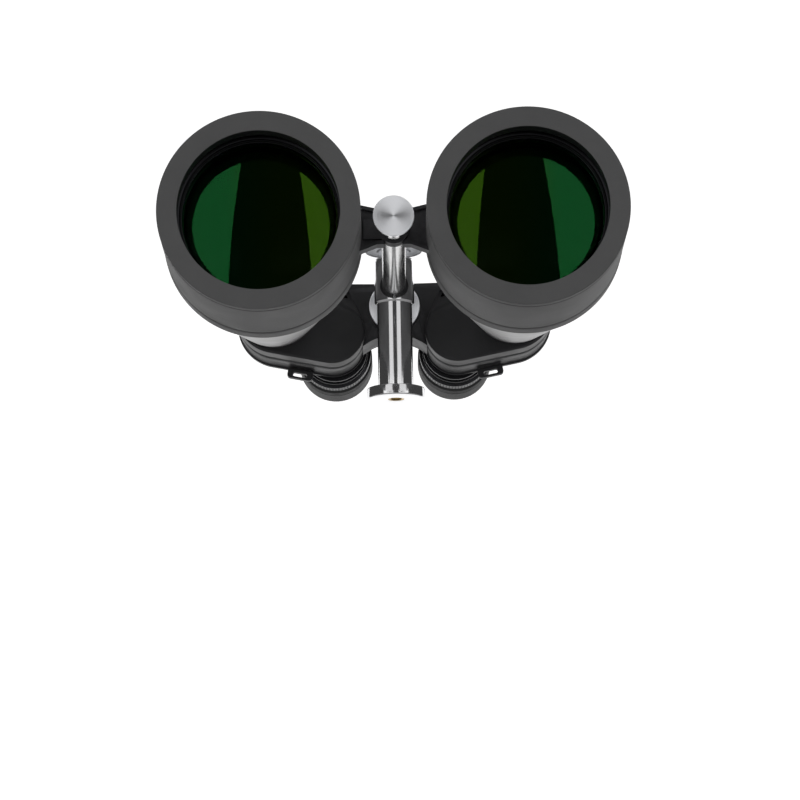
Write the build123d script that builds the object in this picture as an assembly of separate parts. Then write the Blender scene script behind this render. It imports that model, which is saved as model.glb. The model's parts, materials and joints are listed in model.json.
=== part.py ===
"""Giant porro-prism binoculars on a sliding tripod post, in millimetres.

The origin is the centre of the tripod socket on the underside of the post's foot.
+Z is up and +Y runs from the objective lenses to the eyepieces.  Each side is drawn
on +X and mirrored for the left.  "Station" means distance back from the hood faces.
"""

import os

from build123d import *

# ---------------------------------------------------------------- tripod post
FOOT_R = 16.4
FOOT_H = 6.0
FOOT_BEVEL = 0.8
SPIGOT_R = 6.0
SPIGOT_H = 12.0
SPIGOT_GAP = 0.5
STEM_R = 9.9
STEM_TOP = 55.0
HEAD_R = 11.3
HEAD_ABOVE_ROD = 17.4
HEAD_BEVEL = 0.9
HEAD_ROUND = 2.4
ROD_ABOVE_STEM = 9.2
SOCKET_R = 3.175
SOCKET_L = 10.0
INSERT_WALL = 1.35

# ------------------------------------------------------------- clamp and bush
BUSH_WALL = 1.45
BUSH_SLOT = 1.6
BUSH_INSET = 0.3
SCREW_R = 4.0
SCREW_TIP_R = 2.0
SCREW_TIP_L = 1.6
SCREW_IN_KNOB = 8.0
PAD_R = 5.5
PAD_H = 2.6
PAD_LIFT = 1.25
KNOB_R = 16.15
KNOB_H = 12.0
KNOB_ABOVE_ROD = 21.4
KNOB_FLUTES = 24
KNOB_FLUTE_R = 1.3
KNOB_FLUTE_OUT = 0.8
KNOB_EDGE = 1.5

# ---------------------------------------------------------------- central rod
ROD_R = 6.5
POST_STATION = 183.0
CAP_LIP = 4.4
CAP_T = 1.4
CAP_STATION = 17.5
CAP_SPIGOT_R = 3.0
CAP_SPIGOT_L = 8.0
TURNED_EDGE = 0.4
DISC_LIP = 8.4
DISC_T = 4.2
DISC_STATION = 227.0
REAR_CAP_LIP = 1.7
REAR_CAP_T = 5.0
REAR_CAP_SOCKET = 2.0
REAR_CAP_BEVEL = 1.6
WASHER_T = 0.5
WASHER_INSET = 0.8

# ------------------------------------------------- objective tubes, both sides
OBJECTIVE_X = 69.7
HOOD_R = 53.0
HOOD_MOUTH_R = 42.2
HOOD_LIP = 9.0
HOOD_STEP = 1.0
HOOD_L = 68.0
HOOD_EDGE = 0.8
HOOD_GROOVES = (4.6, 56.0)
GROOVE_W = 0.9
GROOVE_D = 0.7
TUBE_FRONT = 12.0
TUBE_NOSE_R = 47.8
TUBE_SHOULDER_R = 52.0
TUBE_TAIL_R = 25.0
TUBE_WALL = 2.5
TUBE_SPIGOT_R = 18.5
TUBE_END_T = 3.0
LENS_R = 41.8
LENS_STATION = 16.0
LENS_CURVE_R = 250.0
CROWN_T = 11.0
AIR_GAP = 0.1
FLINT_T = 5.0
CELL_LEDGE = 1.8
CELL_LEDGE_T = 3.0
CELL_FRONT = 13.0
RETAINER_FACE = 1.2
RETAINER_T = 3.4
RETAINER_BEVEL = 0.6

# ------------------------------------------------------------- prism housings
HOUSING_FRONT = 219.0
HOUSING_REAR = 258.0
HOUSING_WALL = 2.2
FRONT_WALL = 2.5
SHELL_A = (67.7, -3.5)
SHELL_A_R = 25.0
SHELL_B = (36.6, -15.8)
SHELL_B_R = 19.0
SHELL_C = (34.0, 7.0)
SHELL_C_R = 8.0
SHOULDER_START = 3.0
SHOULDER_END = 16.0
COVER_T = 3.0
PRISM_HALF = 6.5
PRISM_BLUNT = (5.0, 3.0)
SHELF_T = 1.5
SHELF_GAP = 0.2
LIGHT_PORT_INSET = 0.5
CLIP_T = 0.8
CLIP_GAP = 0.1
CLIP_FRONT_GAP = 0.2
CLIP_HALF_W = 3.0
BOSS_R = 3.2
BOSS_L = 12.0
CORNER_BOSS_L = 6.0
BOSS_RING_R = 21.6
BOSS_ANGLES = (30.0, -45.0, 110.0)
SCREW_BORE_FLOOR = 1.0
SCREW_TIP_GAP = 0.5
COVER_SCREW_R = 1.25
SCREW_HEAD_R = 2.6
SCREW_HEAD_T = 1.3
SCREW_SLOT_W = 0.7
SCREW_SLOT_D = 0.5
LUG_X = 55.5
LUG_W = 15.0
LUG_DEPTH = 4.0
LUG_DROP = 36.8
LUG_SLOT = (8.4, 2.4)
LUG_BAR = 1.2
LUG_H = 12.0
LUG_TILT = 11.5
LUG_CORNER = 2.0

# ----------------------------------------------------------- bridges and hinge
BRIDGE_FRONT = 45.0
BRIDGE_REAR = 53.0
HUB_WALL = 1.5
ARM_ROOT = (9.0, -8.4, 11.2)
ARM_END = (28.0, -15.9, 15.6)
FLANGE_T = 1.9
WEB_RECESS = 2.2
WINDOW_GAP = 0.4
REAR_BRIDGE_FRONT = 232.0
REAR_BRIDGE_REAR = 256.0
REAR_HUB_WALL = 8.0
HUB_GAP = 0.4
LINK_H = 10.6
ARM_TUCK = 4.0
KNUCKLE_ROOT_R = 7.0
KNUCKLE_ROOT_DROP = 2.0
KNUCKLE_TIP_R = 4.0
ARCH_R = 30.0
ARCH_TOP = -16.0
FREE_ANGLE_DOWN = 13.0
FREE_ANGLE_UP = 9.5

# ------------------------------------------------------------------ eyepieces
EYE_X = 35.6
EYE_Z = -17.8
BARREL_R = 17.5
BARREL_BORE_R = 14.5
BARREL_REAR = 272.0
BARREL_SPIGOT_R = 15.5
BARREL_NECK_L = 1.0
BARREL_RING_R = 19.0
BARREL_RING_T = 2.4
BARREL_RING_EDGE = 0.5
OCULAR_WALL = 2.0
OCULAR_FRONT = 250.0
OCULAR_REAR = 300.0
STOP_STATION = 251.0
STOP_T = 1.5
STOP_R = 9.5
FIELD_LENS_STATION = 256.0
FIELD_LENS_T = 6.0
EYE_LENS_STATION = 290.0
EYE_LENS_T = 7.0
OCULAR_CURVE_R = 60.0
RING_FRONT = 268.0
RING_REAR = 281.0
RING_SKIRT_R = 19.5
RING_R = 21.0
RING_KNURL_FRONT = 273.0
RING_WEB_FRONT = 276.0
RING_RIBS = 40
RING_RIB_D = 0.5
RING_RIB_MARGIN = 0.8
RING_HUB_R = 17.4
RING_HUB_REAR = 290.0
EYECUP_R = 21.9
EYECUP_NECK_R = 20.2
EYECUP_NECK_L = 2.0
EYECUP_REAR = 310.0
EYECUP_WALL = 2.6
EYECUP_FLARE = 1.5
EYECUP_ROLL = 1.0
EYECUP_LIP = 0.4

# ------------------------------------------------------------------ clearances
RUN = 0.05
SLIP = 0.02

ROD_Z = STEM_TOP + ROD_ABOVE_STEM
BUSH_R = ROD_R + RUN + BUSH_WALL
CAP_R = ROD_R + CAP_LIP
DISC_R = ROD_R + DISC_LIP
REAR_CAP_R = ROD_R + REAR_CAP_LIP
HUB_R = ROD_R + HUB_WALL
REAR_HUB_R = ROD_R + REAR_HUB_WALL
BIG = 200.0


def at(station):
    """World Y of a distance back from the hood faces."""
    return station - POST_STATION


def ring_profile(points, x=0.0, z=ROD_Z):
    """Solid turned about a Y axis at (x, z) from (radius, station) points."""
    face = make_face(Polyline(*[(r, at(s)) for r, s in points], close=True))
    return Pos(x, 0, z) * revolve(face, Axis.Y)


def turned_up(points):
    """Solid turned about the post's axis from (radius, height) points."""
    face = make_face(Polyline(*[(r, 0, h) for r, h in points], close=True))
    return revolve(face, Axis.Z)


def disc(radius, front, rear, x=0.0, z=ROD_Z):
    """Plain cylinder along Y between two stations."""
    middle = at(0.5 * (front + rear))
    return Pos(x, middle, z) * Rot(90, 0, 0) * Cylinder(radius, rear - front)


def slab(sketch, front, rear):
    """Sketch drawn in (x, z above the rod) run between two stations."""
    body = extrude(sketch, amount=rear - front)
    return Pos(0, at(rear), ROD_Z) * Rot(90, 0, 0) * body


def circle_at(x, z, radius):
    return Pos(x, z) * Circle(radius)


def polygon(*points):
    return make_face(Polyline(*points, close=True))


def save(shape, name):
    export_step(shape, os.path.join("parts", name + ".step"))


# ---------------------------------------------------------------- tripod post
def post_body():
    top = ROD_Z + HEAD_ABOVE_ROD
    post = turned_up([
        (0, FOOT_H), (STEM_R, FOOT_H), (STEM_R, STEM_TOP),
        (HEAD_R - HEAD_BEVEL, STEM_TOP), (HEAD_R, STEM_TOP + HEAD_BEVEL),
        (HEAD_R, top), (0, top),
    ])
    rim = post.edges().filter_by(GeomType.CIRCLE).sort_by(Axis.Z)[-1]
    post = fillet(rim, HEAD_ROUND)
    post -= Pos(0, 0, FOOT_H) * Cylinder(SPIGOT_R + SLIP, 2 * SPIGOT_H)
    post -= disc(BUSH_R + RUN, POST_STATION - BIG, POST_STATION + BIG)
    pad_room = ROD_Z + BUSH_R + PAD_H + PAD_LIFT + 2 * RUN
    post -= Pos(0, 0, (ROD_Z + pad_room) / 2) * Cylinder(PAD_R + RUN, pad_room - ROD_Z)
    post -= Pos(0, 0, top) * Cylinder(SCREW_R + RUN, 2 * (top - pad_room) + 1)
    return post


def post_foot():
    bore = SOCKET_R + INSERT_WALL + SLIP
    top = FOOT_H + SPIGOT_H - SPIGOT_GAP
    return turned_up([
        (bore, 0), (FOOT_R - FOOT_BEVEL, 0), (FOOT_R, FOOT_BEVEL),
        (FOOT_R, FOOT_H - FOOT_BEVEL), (FOOT_R - FOOT_BEVEL, FOOT_H),
        (SPIGOT_R, FOOT_H), (SPIGOT_R, top), (bore, top),
    ])


def tripod_insert():
    outside = SOCKET_R + INSERT_WALL
    return turned_up([(SOCKET_R, 0), (outside, 0), (outside, SOCKET_L), (SOCKET_R, SOCKET_L)])


def rod_bush():
    sleeve = disc(BUSH_R, POST_STATION - HEAD_R, POST_STATION + HEAD_R)
    sleeve -= disc(ROD_R + RUN, POST_STATION - HEAD_R, POST_STATION + HEAD_R)
    sleeve &= Pos(0, 0, ROD_Z) * Cylinder(HEAD_R - BUSH_INSET, 4 * BUSH_R)
    slot = Box(BUSH_SLOT, 4 * HEAD_R, 2 * BUSH_R)
    return sleeve - Pos(0, 0, ROD_Z - BUSH_R) * slot


def pad_top():
    return ROD_Z + BUSH_R + RUN + PAD_H


def clamp_pad():
    pad = Pos(0, 0, (ROD_Z + pad_top()) / 2) * Cylinder(PAD_R, pad_top() - ROD_Z)
    pad -= disc(BUSH_R + RUN, POST_STATION - HEAD_R, POST_STATION + HEAD_R)
    return pad - Pos(0, 0, pad_top()) * Cylinder(SCREW_TIP_R + RUN, 2 * (SCREW_TIP_L + RUN))


def clamp_screw():
    base = pad_top() + RUN
    top = ROD_Z + KNOB_ABOVE_ROD + SCREW_IN_KNOB
    return turned_up([
        (0, base - SCREW_TIP_L), (SCREW_TIP_R, base - SCREW_TIP_L), (SCREW_TIP_R, base),
        (SCREW_R, base), (SCREW_R, top), (0, top),
    ])


def clamp_knob():
    low = ROD_Z + KNOB_ABOVE_ROD
    high = low + KNOB_H
    knob = turned_up([
        (SCREW_R + SLIP, low), (KNOB_R - KNOB_EDGE, low), (KNOB_R, low + KNOB_EDGE),
        (KNOB_R, high - KNOB_EDGE), (KNOB_R - KNOB_EDGE, high), (0, high),
        (0, low + SCREW_IN_KNOB + SLIP), (SCREW_R + SLIP, low + SCREW_IN_KNOB + SLIP),
    ])
    ring = PolarLocations(KNOB_R + KNOB_FLUTE_OUT, KNOB_FLUTES)
    flutes = [place * Cylinder(KNOB_FLUTE_R, KNOB_H) for place in ring]
    return knob - Pos(0, 0, (low + high) / 2) * Compound(children=flutes)


# ---------------------------------------------------------------- central rod
def central_rod():
    front = CAP_STATION + CAP_T
    rear = REAR_BRIDGE_REAR + WASHER_T + REAR_CAP_SOCKET
    bore_end = front + CAP_SPIGOT_L + SLIP
    return disc(ROD_R, front, rear) - disc(CAP_SPIGOT_R + SLIP, front - 1, bore_end)


def front_cap():
    """Thin turned disc with a spigot pressed into the rod's end."""
    rear = CAP_STATION + CAP_T
    return ring_profile([
        (0, CAP_STATION), (CAP_R - TURNED_EDGE, CAP_STATION),
        (CAP_R, CAP_STATION + TURNED_EDGE), (CAP_R, rear - TURNED_EDGE),
        (CAP_R - TURNED_EDGE, rear), (CAP_SPIGOT_R, rear),
        (CAP_SPIGOT_R, rear + CAP_SPIGOT_L), (0, rear + CAP_SPIGOT_L),
    ])


def rear_disc():
    rear = DISC_STATION + DISC_T
    return ring_profile([
        (ROD_R + SLIP, DISC_STATION), (DISC_R - TURNED_EDGE, DISC_STATION),
        (DISC_R, DISC_STATION + TURNED_EDGE), (DISC_R, rear), (ROD_R + SLIP, rear),
    ])


def rear_cap():
    front = REAR_BRIDGE_REAR + WASHER_T
    socket = front + REAR_CAP_SOCKET + SLIP
    rear = front + REAR_CAP_T
    return ring_profile([
        (ROD_R + SLIP, front), (REAR_CAP_R, front), (REAR_CAP_R, rear - REAR_CAP_BEVEL),
        (REAR_CAP_R - REAR_CAP_BEVEL, rear), (0, rear), (0, socket), (ROD_R + SLIP, socket),
    ])


def washer_stations():
    """Front of each hinge washer: between knuckles and at the rear bridge's ends."""
    front_split = (BRIDGE_FRONT + BRIDGE_REAR - WASHER_T) / 2
    rear_split = (REAR_BRIDGE_FRONT + REAR_BRIDGE_REAR - WASHER_T) / 2
    return front_split, DISC_STATION + DISC_T, rear_split, REAR_BRIDGE_REAR


def hinge_washers():
    rings = []
    for front in washer_stations():
        ring = disc(HUB_R - WASHER_INSET, front + SLIP, front + WASHER_T - SLIP)
        rings.append(ring - disc(ROD_R + RUN, front, front + WASHER_T))
    return Compound(children=rings)


# ------------------------------------------------------------ objective group
def tube_envelope():
    """Outside of the objective tube with no bore, which its neighbours seat on."""
    return ring_profile([
        (0, TUBE_FRONT), (TUBE_NOSE_R, TUBE_FRONT), (TUBE_NOSE_R, HOOD_L),
        (TUBE_SHOULDER_R, HOOD_L), (TUBE_TAIL_R, HOUSING_FRONT), (0, HOUSING_FRONT),
    ], OBJECTIVE_X)


def objective_tube():
    bore = TUBE_NOSE_R - TUBE_WALL
    tail = TUBE_SPIGOT_R - TUBE_WALL
    return ring_profile([
        (bore, TUBE_FRONT), (TUBE_NOSE_R, TUBE_FRONT), (TUBE_NOSE_R, HOOD_L),
        (TUBE_SHOULDER_R, HOOD_L), (TUBE_TAIL_R, HOUSING_FRONT),
        (TUBE_SPIGOT_R, HOUSING_FRONT), (TUBE_SPIGOT_R, HOUSING_FRONT + FRONT_WALL),
        (tail, HOUSING_FRONT + FRONT_WALL), (tail, HOUSING_FRONT - TUBE_END_T),
        (TUBE_TAIL_R - TUBE_WALL, HOUSING_FRONT - TUBE_END_T),
        (TUBE_SHOULDER_R - TUBE_WALL, HOOD_L + TUBE_WALL), (bore, HOOD_L),
    ], OBJECTIVE_X)


def lens_hood():
    wide = HOOD_MOUTH_R + HOOD_STEP
    hood = ring_profile([
        (HOOD_MOUTH_R, 0), (HOOD_R - HOOD_EDGE, 0), (HOOD_R, HOOD_EDGE),
        (HOOD_R, HOOD_L - HOOD_EDGE), (HOOD_R - HOOD_EDGE, HOOD_L),
        (TUBE_NOSE_R + SLIP, HOOD_L), (TUBE_NOSE_R + SLIP, TUBE_FRONT - SLIP),
        (wide, TUBE_FRONT - SLIP), (wide, HOOD_LIP), (HOOD_MOUTH_R, HOOD_LIP),
    ], OBJECTIVE_X)
    for station in HOOD_GROOVES:
        hood -= ring_profile([
            (HOOD_R - GROOVE_D, station), (HOOD_R + 1, station),
            (HOOD_R + 1, station + GROOVE_W), (HOOD_R - GROOVE_D, station + GROOVE_W),
        ], OBJECTIVE_X)
    window = arm_outline(WINDOW_GAP)
    return hood - slab(window, BRIDGE_FRONT - WINDOW_GAP, BRIDGE_REAR + WINDOW_GAP)


def lens_rear():
    return LENS_STATION + CROWN_T + AIR_GAP + FLINT_T


def lens_cell():
    outside = TUBE_NOSE_R - TUBE_WALL - SLIP
    bore = LENS_R + RUN
    ledge = lens_rear() + RUN
    return ring_profile([
        (bore, CELL_FRONT), (outside, CELL_FRONT), (outside, ledge + CELL_LEDGE_T),
        (LENS_R - CELL_LEDGE, ledge + CELL_LEDGE_T), (LENS_R - CELL_LEDGE, ledge),
        (bore, ledge),
    ], OBJECTIVE_X)


def ball(radius, apex, side):
    """Ball on the lens axis that touches the apex station from one side."""
    return Pos(OBJECTIVE_X, at(apex + side * radius), ROD_Z) * Sphere(radius)


def crown_lens():
    rear = LENS_STATION + CROWN_T
    blank = disc(LENS_R, LENS_STATION - 1, rear + 1, OBJECTIVE_X)
    return blank & ball(LENS_CURVE_R, LENS_STATION, 1) & ball(LENS_CURVE_R, rear, -1)


def flint_lens():
    front = LENS_STATION + CROWN_T + AIR_GAP
    blank = disc(LENS_R, LENS_STATION + CROWN_T / 2, lens_rear(), OBJECTIVE_X)
    return blank - ball(LENS_CURVE_R, front, -1)


def lens_retainer():
    inside = LENS_R - RETAINER_FACE
    sag = inside ** 2 / (2 * LENS_CURVE_R)
    rear = LENS_STATION + sag - RUN
    front = rear - RETAINER_T
    return ring_profile([
        (inside + RETAINER_BEVEL, front), (LENS_R + RUN - SLIP, front), (LENS_R + RUN - SLIP, rear),
        (inside, rear), (inside, front + RETAINER_BEVEL),
    ], OBJECTIVE_X)


# -------------------------------------------------------------- prism housing
def shell_outline(shrink, with_corner):
    circles = [
        circle_at(*SHELL_A, SHELL_A_R - shrink),
        circle_at(*SHELL_B, SHELL_B_R - shrink),
    ]
    if with_corner:
        circles.append(circle_at(*SHELL_C, SHELL_C_R - shrink))
    return make_hull([c.edge() for c in circles])


def shoulder_cut(start, inset):
    """Wedge that slopes the housing's front back towards the hinge."""
    across = Vector(SHELL_B[0] - SHELL_A[0], 0, SHELL_B[1] - SHELL_A[1])
    lean = Vector(across.X, 0, across.Z).normalized()
    swing = Vector(0, 1, 0).cross(lean)
    share = (SHELL_A_R - SHELL_B_R) / across.length
    normal = lean * share - swing * (1 - share ** 2) ** 0.5
    if normal.Z < 0:
        normal = lean * share + swing * (1 - share ** 2) ** 0.5
    foot = Vector(SHELL_A[0], 0, ROD_Z + SHELL_A[1]) + normal * (SHELL_A_R - inset)
    reach = Vector(SHELL_C[0] - SHELL_A[0], 0, SHELL_C[1] - SHELL_A[1]).dot(normal)
    reach += SHELL_C_R - SHELL_A_R
    slope = (SHOULDER_END - SHOULDER_START) / reach
    plane = Plane(origin=foot, x_dir=normal, z_dir=normal.cross(Vector(0, 1, 0)))
    low = at(HOUSING_FRONT + start)
    far = SHELL_A_R + SHELL_B_R
    wedge = polygon((0, low - far), (far, low - far), (far, low + far * slope), (0, low))
    return extrude(plane * wedge, amount=BIG, both=True)


def boss_places():
    """(x, z, front station, radius) of each cover screw's boss."""
    places = []
    for angle in BOSS_ANGLES:
        arm = Vector(BOSS_RING_R, 0).rotate(Axis.Z, angle)
        places.append((SHELL_A[0] + arm.X, SHELL_A[1] + arm.Y, HOUSING_REAR - BOSS_L, BOSS_R))
    places.append((*SHELL_C, HOUSING_REAR - CORNER_BOSS_L, SHELL_C_R - HOUSING_WALL / 2))
    return places


def rear_arm(knuckle):
    """Arm of the rear bridge, cast with the housing, and its hinge knuckle."""
    front, rear = REAR_BRIDGE_FRONT, REAR_BRIDGE_REAR
    outline = make_hull([c.edge() for c in (
        circle_at(0, 0, REAR_HUB_R), circle_at(*SHELL_C, SHELL_C_R),
        circle_at(*SHELL_B, SHELL_B_R - HOUSING_WALL),
    )])
    outline -= circle_at(0, ARCH_TOP - ARCH_R, ARCH_R)
    for direction, angle in ((-1, FREE_ANGLE_DOWN), (1, FREE_ANGLE_UP)):
        edge = Vector(0, direction * BIG).rotate(Axis.Z, direction * -angle)
        outline -= polygon((0, 0), (edge.X, edge.Y), (-edge.X, edge.Y))
    outline -= polygon((0, -BIG), (0, BIG), (-BIG, BIG), (-BIG, -BIG))
    arm = slab(outline, front, rear)
    arm -= disc(REAR_HUB_R + HUB_GAP, front - 1, rear + 1)
    wedge = make_hull([c.edge() for c in (
        circle_at(REAR_HUB_R, -KNUCKLE_ROOT_DROP, KNUCKLE_ROOT_R),
        circle_at(REAR_HUB_R / 2, 0, KNUCKLE_TIP_R),
    )])
    arm += slab(wedge, *knuckle)
    arm += disc(REAR_HUB_R, *knuckle)
    return arm - disc(ROD_R + RUN, front - 1, rear + 1)


def prism_housing(knuckle):
    outside = slab(shell_outline(0, True), HOUSING_FRONT, HOUSING_REAR)
    outside -= shoulder_cut(SHOULDER_START, 0)
    outside += rear_arm(knuckle)
    cavity_front = HOUSING_FRONT + FRONT_WALL
    cavity = slab(shell_outline(HOUSING_WALL, True), cavity_front, HOUSING_REAR + 1)
    cavity -= shoulder_cut(SHOULDER_START + FRONT_WALL, HOUSING_WALL)
    shell = outside - cavity
    for x, z, front, radius in boss_places():
        shell += disc(radius, front, HOUSING_REAR, x, ROD_Z + z) & outside
    for x, z, front, _ in boss_places():
        shell -= disc(COVER_SCREW_R + SLIP, front + SCREW_BORE_FLOOR, HOUSING_REAR + 1, x, ROD_Z + z)
    shell -= disc(BARREL_BORE_R, OCULAR_FRONT - 1, HOUSING_REAR + 1, EYE_X, ROD_Z + EYE_Z)
    return shell - disc(TUBE_SPIGOT_R + SLIP, 0, cavity_front + 1, OBJECTIVE_X)


def prism_stations():
    """Rear face of the front prism, and front face of the rear one."""
    tall = (OBJECTIVE_X - EYE_X) / 2 + PRISM_HALF
    shelf_front = HOUSING_FRONT + FRONT_WALL + CLIP_T + CLIP_FRONT_GAP + tall - PRISM_BLUNT[0]
    return shelf_front, shelf_front + SHELF_T


def front_prism():
    """Lies level, and carries the light from under the objective to the eyepiece."""
    base = prism_stations()[0]
    middle = (OBJECTIVE_X + EYE_X) / 2
    half = (OBJECTIVE_X - EYE_X) / 2 + PRISM_HALF
    blunt = PRISM_BLUNT[0]
    tip = base - half + blunt
    outline = polygon(
        (middle - half, at(base)), (middle + half, at(base)),
        (middle + blunt, at(tip)), (middle - blunt, at(tip)),
    )
    body = extrude(outline, amount=PRISM_HALF, both=True)
    return Pos(0, 0, ROD_Z + EYE_Z) * body


def rear_prism():
    """Stands upright behind the objective, and carries the light down."""
    base = prism_stations()[1]
    middle = ROD_Z + EYE_Z / 2
    half = -EYE_Z / 2 + PRISM_HALF
    blunt = PRISM_BLUNT[1]
    tip = base + half - blunt
    outline = Plane.YZ * polygon(
        (at(base), middle - half), (at(base), middle + half),
        (at(tip), middle + blunt), (at(tip), middle - blunt),
    )
    return Pos(OBJECTIVE_X, 0, 0) * extrude(outline, amount=PRISM_HALF, both=True)


def prism_shelf():
    front, rear = prism_stations()
    shelf = slab(shell_outline(HOUSING_WALL + SHELF_GAP, False), front, rear)
    for x, z in ((OBJECTIVE_X, 0), (OBJECTIVE_X, EYE_Z), (EYE_X, EYE_Z)):
        shelf -= disc(PRISM_HALF - LIGHT_PORT_INSET, front, rear, x, ROD_Z + z)
    for x, z, _, radius in boss_places():
        shelf -= disc(radius + SHELF_GAP, front, rear, x, ROD_Z + z)
    return shelf


def clip(half_length, length):
    """Flat spring strap in a U, drawn along X with its back at y = 0."""
    outer = Pos(0, length / 2) * Rectangle(2 * half_length, length)
    inner_half = half_length - CLIP_T
    inner = Pos(0, length / 2 + CLIP_T) * Rectangle(2 * inner_half, length)
    return extrude(outer - inner, amount=CLIP_HALF_W, both=True)


def prism_clips():
    front, rear = prism_stations()
    gap = CLIP_T + CLIP_GAP
    level = (OBJECTIVE_X - EYE_X) / 2 + PRISM_HALF
    upright = -EYE_Z / 2 + PRISM_HALF
    front_back = front - level + PRISM_BLUNT[0] - gap
    front_clip = clip(level + gap, front - front_back - SLIP)
    middle = (OBJECTIVE_X + EYE_X) / 2
    front_clip = Pos(middle, at(front_back), ROD_Z + EYE_Z) * front_clip
    rear_back = rear + upright - PRISM_BLUNT[1] + gap
    rear_clip = Rot(0, 90, 0) * Rot(180, 0, 0) * clip(upright + gap, rear_back - rear - SLIP)
    rear_clip = Pos(OBJECTIVE_X, at(rear_back), ROD_Z + EYE_Z / 2) * rear_clip
    return Compound(children=[front_clip, rear_clip])


def strap_lug():
    """Loop under the housing, tilted to lie along its lower edge."""
    place = Pos(LUG_X, -LUG_DROP + LUG_H / 2) * Rot(0, 0, LUG_TILT)
    body = place * RectangleRounded(LUG_W, LUG_H, LUG_CORNER)
    slot_z = -LUG_H / 2 + LUG_BAR + LUG_SLOT[1] / 2
    body -= place * Pos(0, slot_z) * RectangleRounded(*LUG_SLOT, LUG_CORNER / 2)
    body -= shell_outline(-SLIP, True)
    loop = slab(body, HOUSING_REAR - LUG_DEPTH, HOUSING_REAR)
    return loop.solids().sort_by(Axis.Z)[0]


# -------------------------------------------------------------------- bridges
def arm_outline(grow=0.0):
    """Web and flanges of the front bridge seen along Y, widened by grow."""
    x0, low0, high0 = ARM_ROOT
    x1, low1, high1 = ARM_END
    return polygon(
        (x0 - ARM_TUCK, low0 - grow), (x0, low0 - grow), (x1, low1 - grow),
        (x1, high1 + grow), (x0, high0 + grow), (x0 - ARM_TUCK, high0 + grow),
    )


def front_bridge_arm(knuckle):
    """I-section arm from the hinge to the objective tube."""
    arm = slab(arm_outline(), BRIDGE_FRONT, BRIDGE_REAR)
    pocket = arm_outline(-FLANGE_T)
    arm -= slab(pocket, BRIDGE_FRONT - 1, BRIDGE_FRONT + WEB_RECESS)
    arm -= slab(pocket, BRIDGE_REAR - WEB_RECESS, BRIDGE_REAR + 1)
    arm -= disc(HUB_R + HUB_GAP, BRIDGE_FRONT - 1, BRIDGE_REAR + 1)
    link = Pos(HUB_R, 0) * Rectangle(2 * HUB_R, LINK_H)
    arm += slab(link, *knuckle) - disc(HUB_R / 2, *knuckle)
    arm += disc(HUB_R, *knuckle)
    arm -= disc(ROD_R + RUN, BRIDGE_FRONT - 1, BRIDGE_REAR + 1)
    return arm - tube_envelope()


def rear_cover():
    """Cover plate of the prism housing, bored for the eyepiece and the screws."""
    cover_rear = HOUSING_REAR + COVER_T
    cover = slab(shell_outline(0, True), HOUSING_REAR, cover_rear)
    cover -= disc(BARREL_SPIGOT_R + SLIP, 0, 2 * BIG, EYE_X, ROD_Z + EYE_Z)
    for x, z, _, _ in boss_places():
        cover -= disc(COVER_SCREW_R + SLIP, HOUSING_REAR - 1, 2 * BIG, x, ROD_Z + z)
        cover -= disc(SCREW_HEAD_R + SLIP, cover_rear - SCREW_HEAD_T, 2 * BIG, x, ROD_Z + z)
    return cover


def cover_screws():
    cover_rear = HOUSING_REAR + COVER_T
    screws = []
    for x, z, front, _ in boss_places():
        tip = front + SCREW_BORE_FLOOR + SCREW_TIP_GAP
        shank = disc(COVER_SCREW_R, tip, cover_rear, x, ROD_Z + z)
        head = disc(SCREW_HEAD_R, cover_rear - SCREW_HEAD_T + SLIP, cover_rear, x, ROD_Z + z)
        slot = Pos(x, at(cover_rear), ROD_Z + z) * Box(2 * SCREW_HEAD_R, 2 * SCREW_SLOT_D, SCREW_SLOT_W)
        screws.append(shank + head - slot)
    return Compound(children=screws)


# ------------------------------------------------------------------ eyepieces
def eye_ring(points):
    return ring_profile(points, EYE_X, ROD_Z + EYE_Z)


def eyepiece_barrel():
    cover_rear = HOUSING_REAR + COVER_T
    ring_start = cover_rear + BARREL_NECK_L
    ring_end = ring_start + BARREL_RING_T
    return eye_ring([
        (BARREL_BORE_R, HOUSING_REAR), (BARREL_SPIGOT_R, HOUSING_REAR),
        (BARREL_SPIGOT_R, cover_rear), (BARREL_R, cover_rear),
        (BARREL_R, ring_start), (BARREL_RING_R, ring_start),
        (BARREL_RING_R, ring_end - BARREL_RING_EDGE),
        (BARREL_RING_R - BARREL_RING_EDGE, ring_end),
        (BARREL_R, ring_end), (BARREL_R, BARREL_REAR), (BARREL_BORE_R, BARREL_REAR),
    ])


def ocular_tube():
    outside = BARREL_BORE_R - RUN
    inside = outside - OCULAR_WALL
    return eye_ring([
        (inside, OCULAR_FRONT), (outside, OCULAR_FRONT),
        (outside, OCULAR_REAR), (inside, OCULAR_REAR),
    ])


def ocular_bore():
    return BARREL_BORE_R - RUN - OCULAR_WALL - SLIP


def field_stop():
    rear = STOP_STATION + STOP_T
    return eye_ring([
        (STOP_R, STOP_STATION), (ocular_bore(), STOP_STATION),
        (ocular_bore(), rear), (STOP_R, rear),
    ])


def ocular_lens(front, thickness):
    """Lens with both faces bulging, its apexes a thickness apart."""
    rear = front + thickness
    x, z = EYE_X, ROD_Z + EYE_Z
    blank = disc(ocular_bore(), front - 1, rear + 1, x, z)
    near = Pos(x, at(front) + OCULAR_CURVE_R, z) * Sphere(OCULAR_CURVE_R)
    far = Pos(x, at(rear) - OCULAR_CURVE_R, z) * Sphere(OCULAR_CURVE_R)
    return blank & near & far


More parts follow.
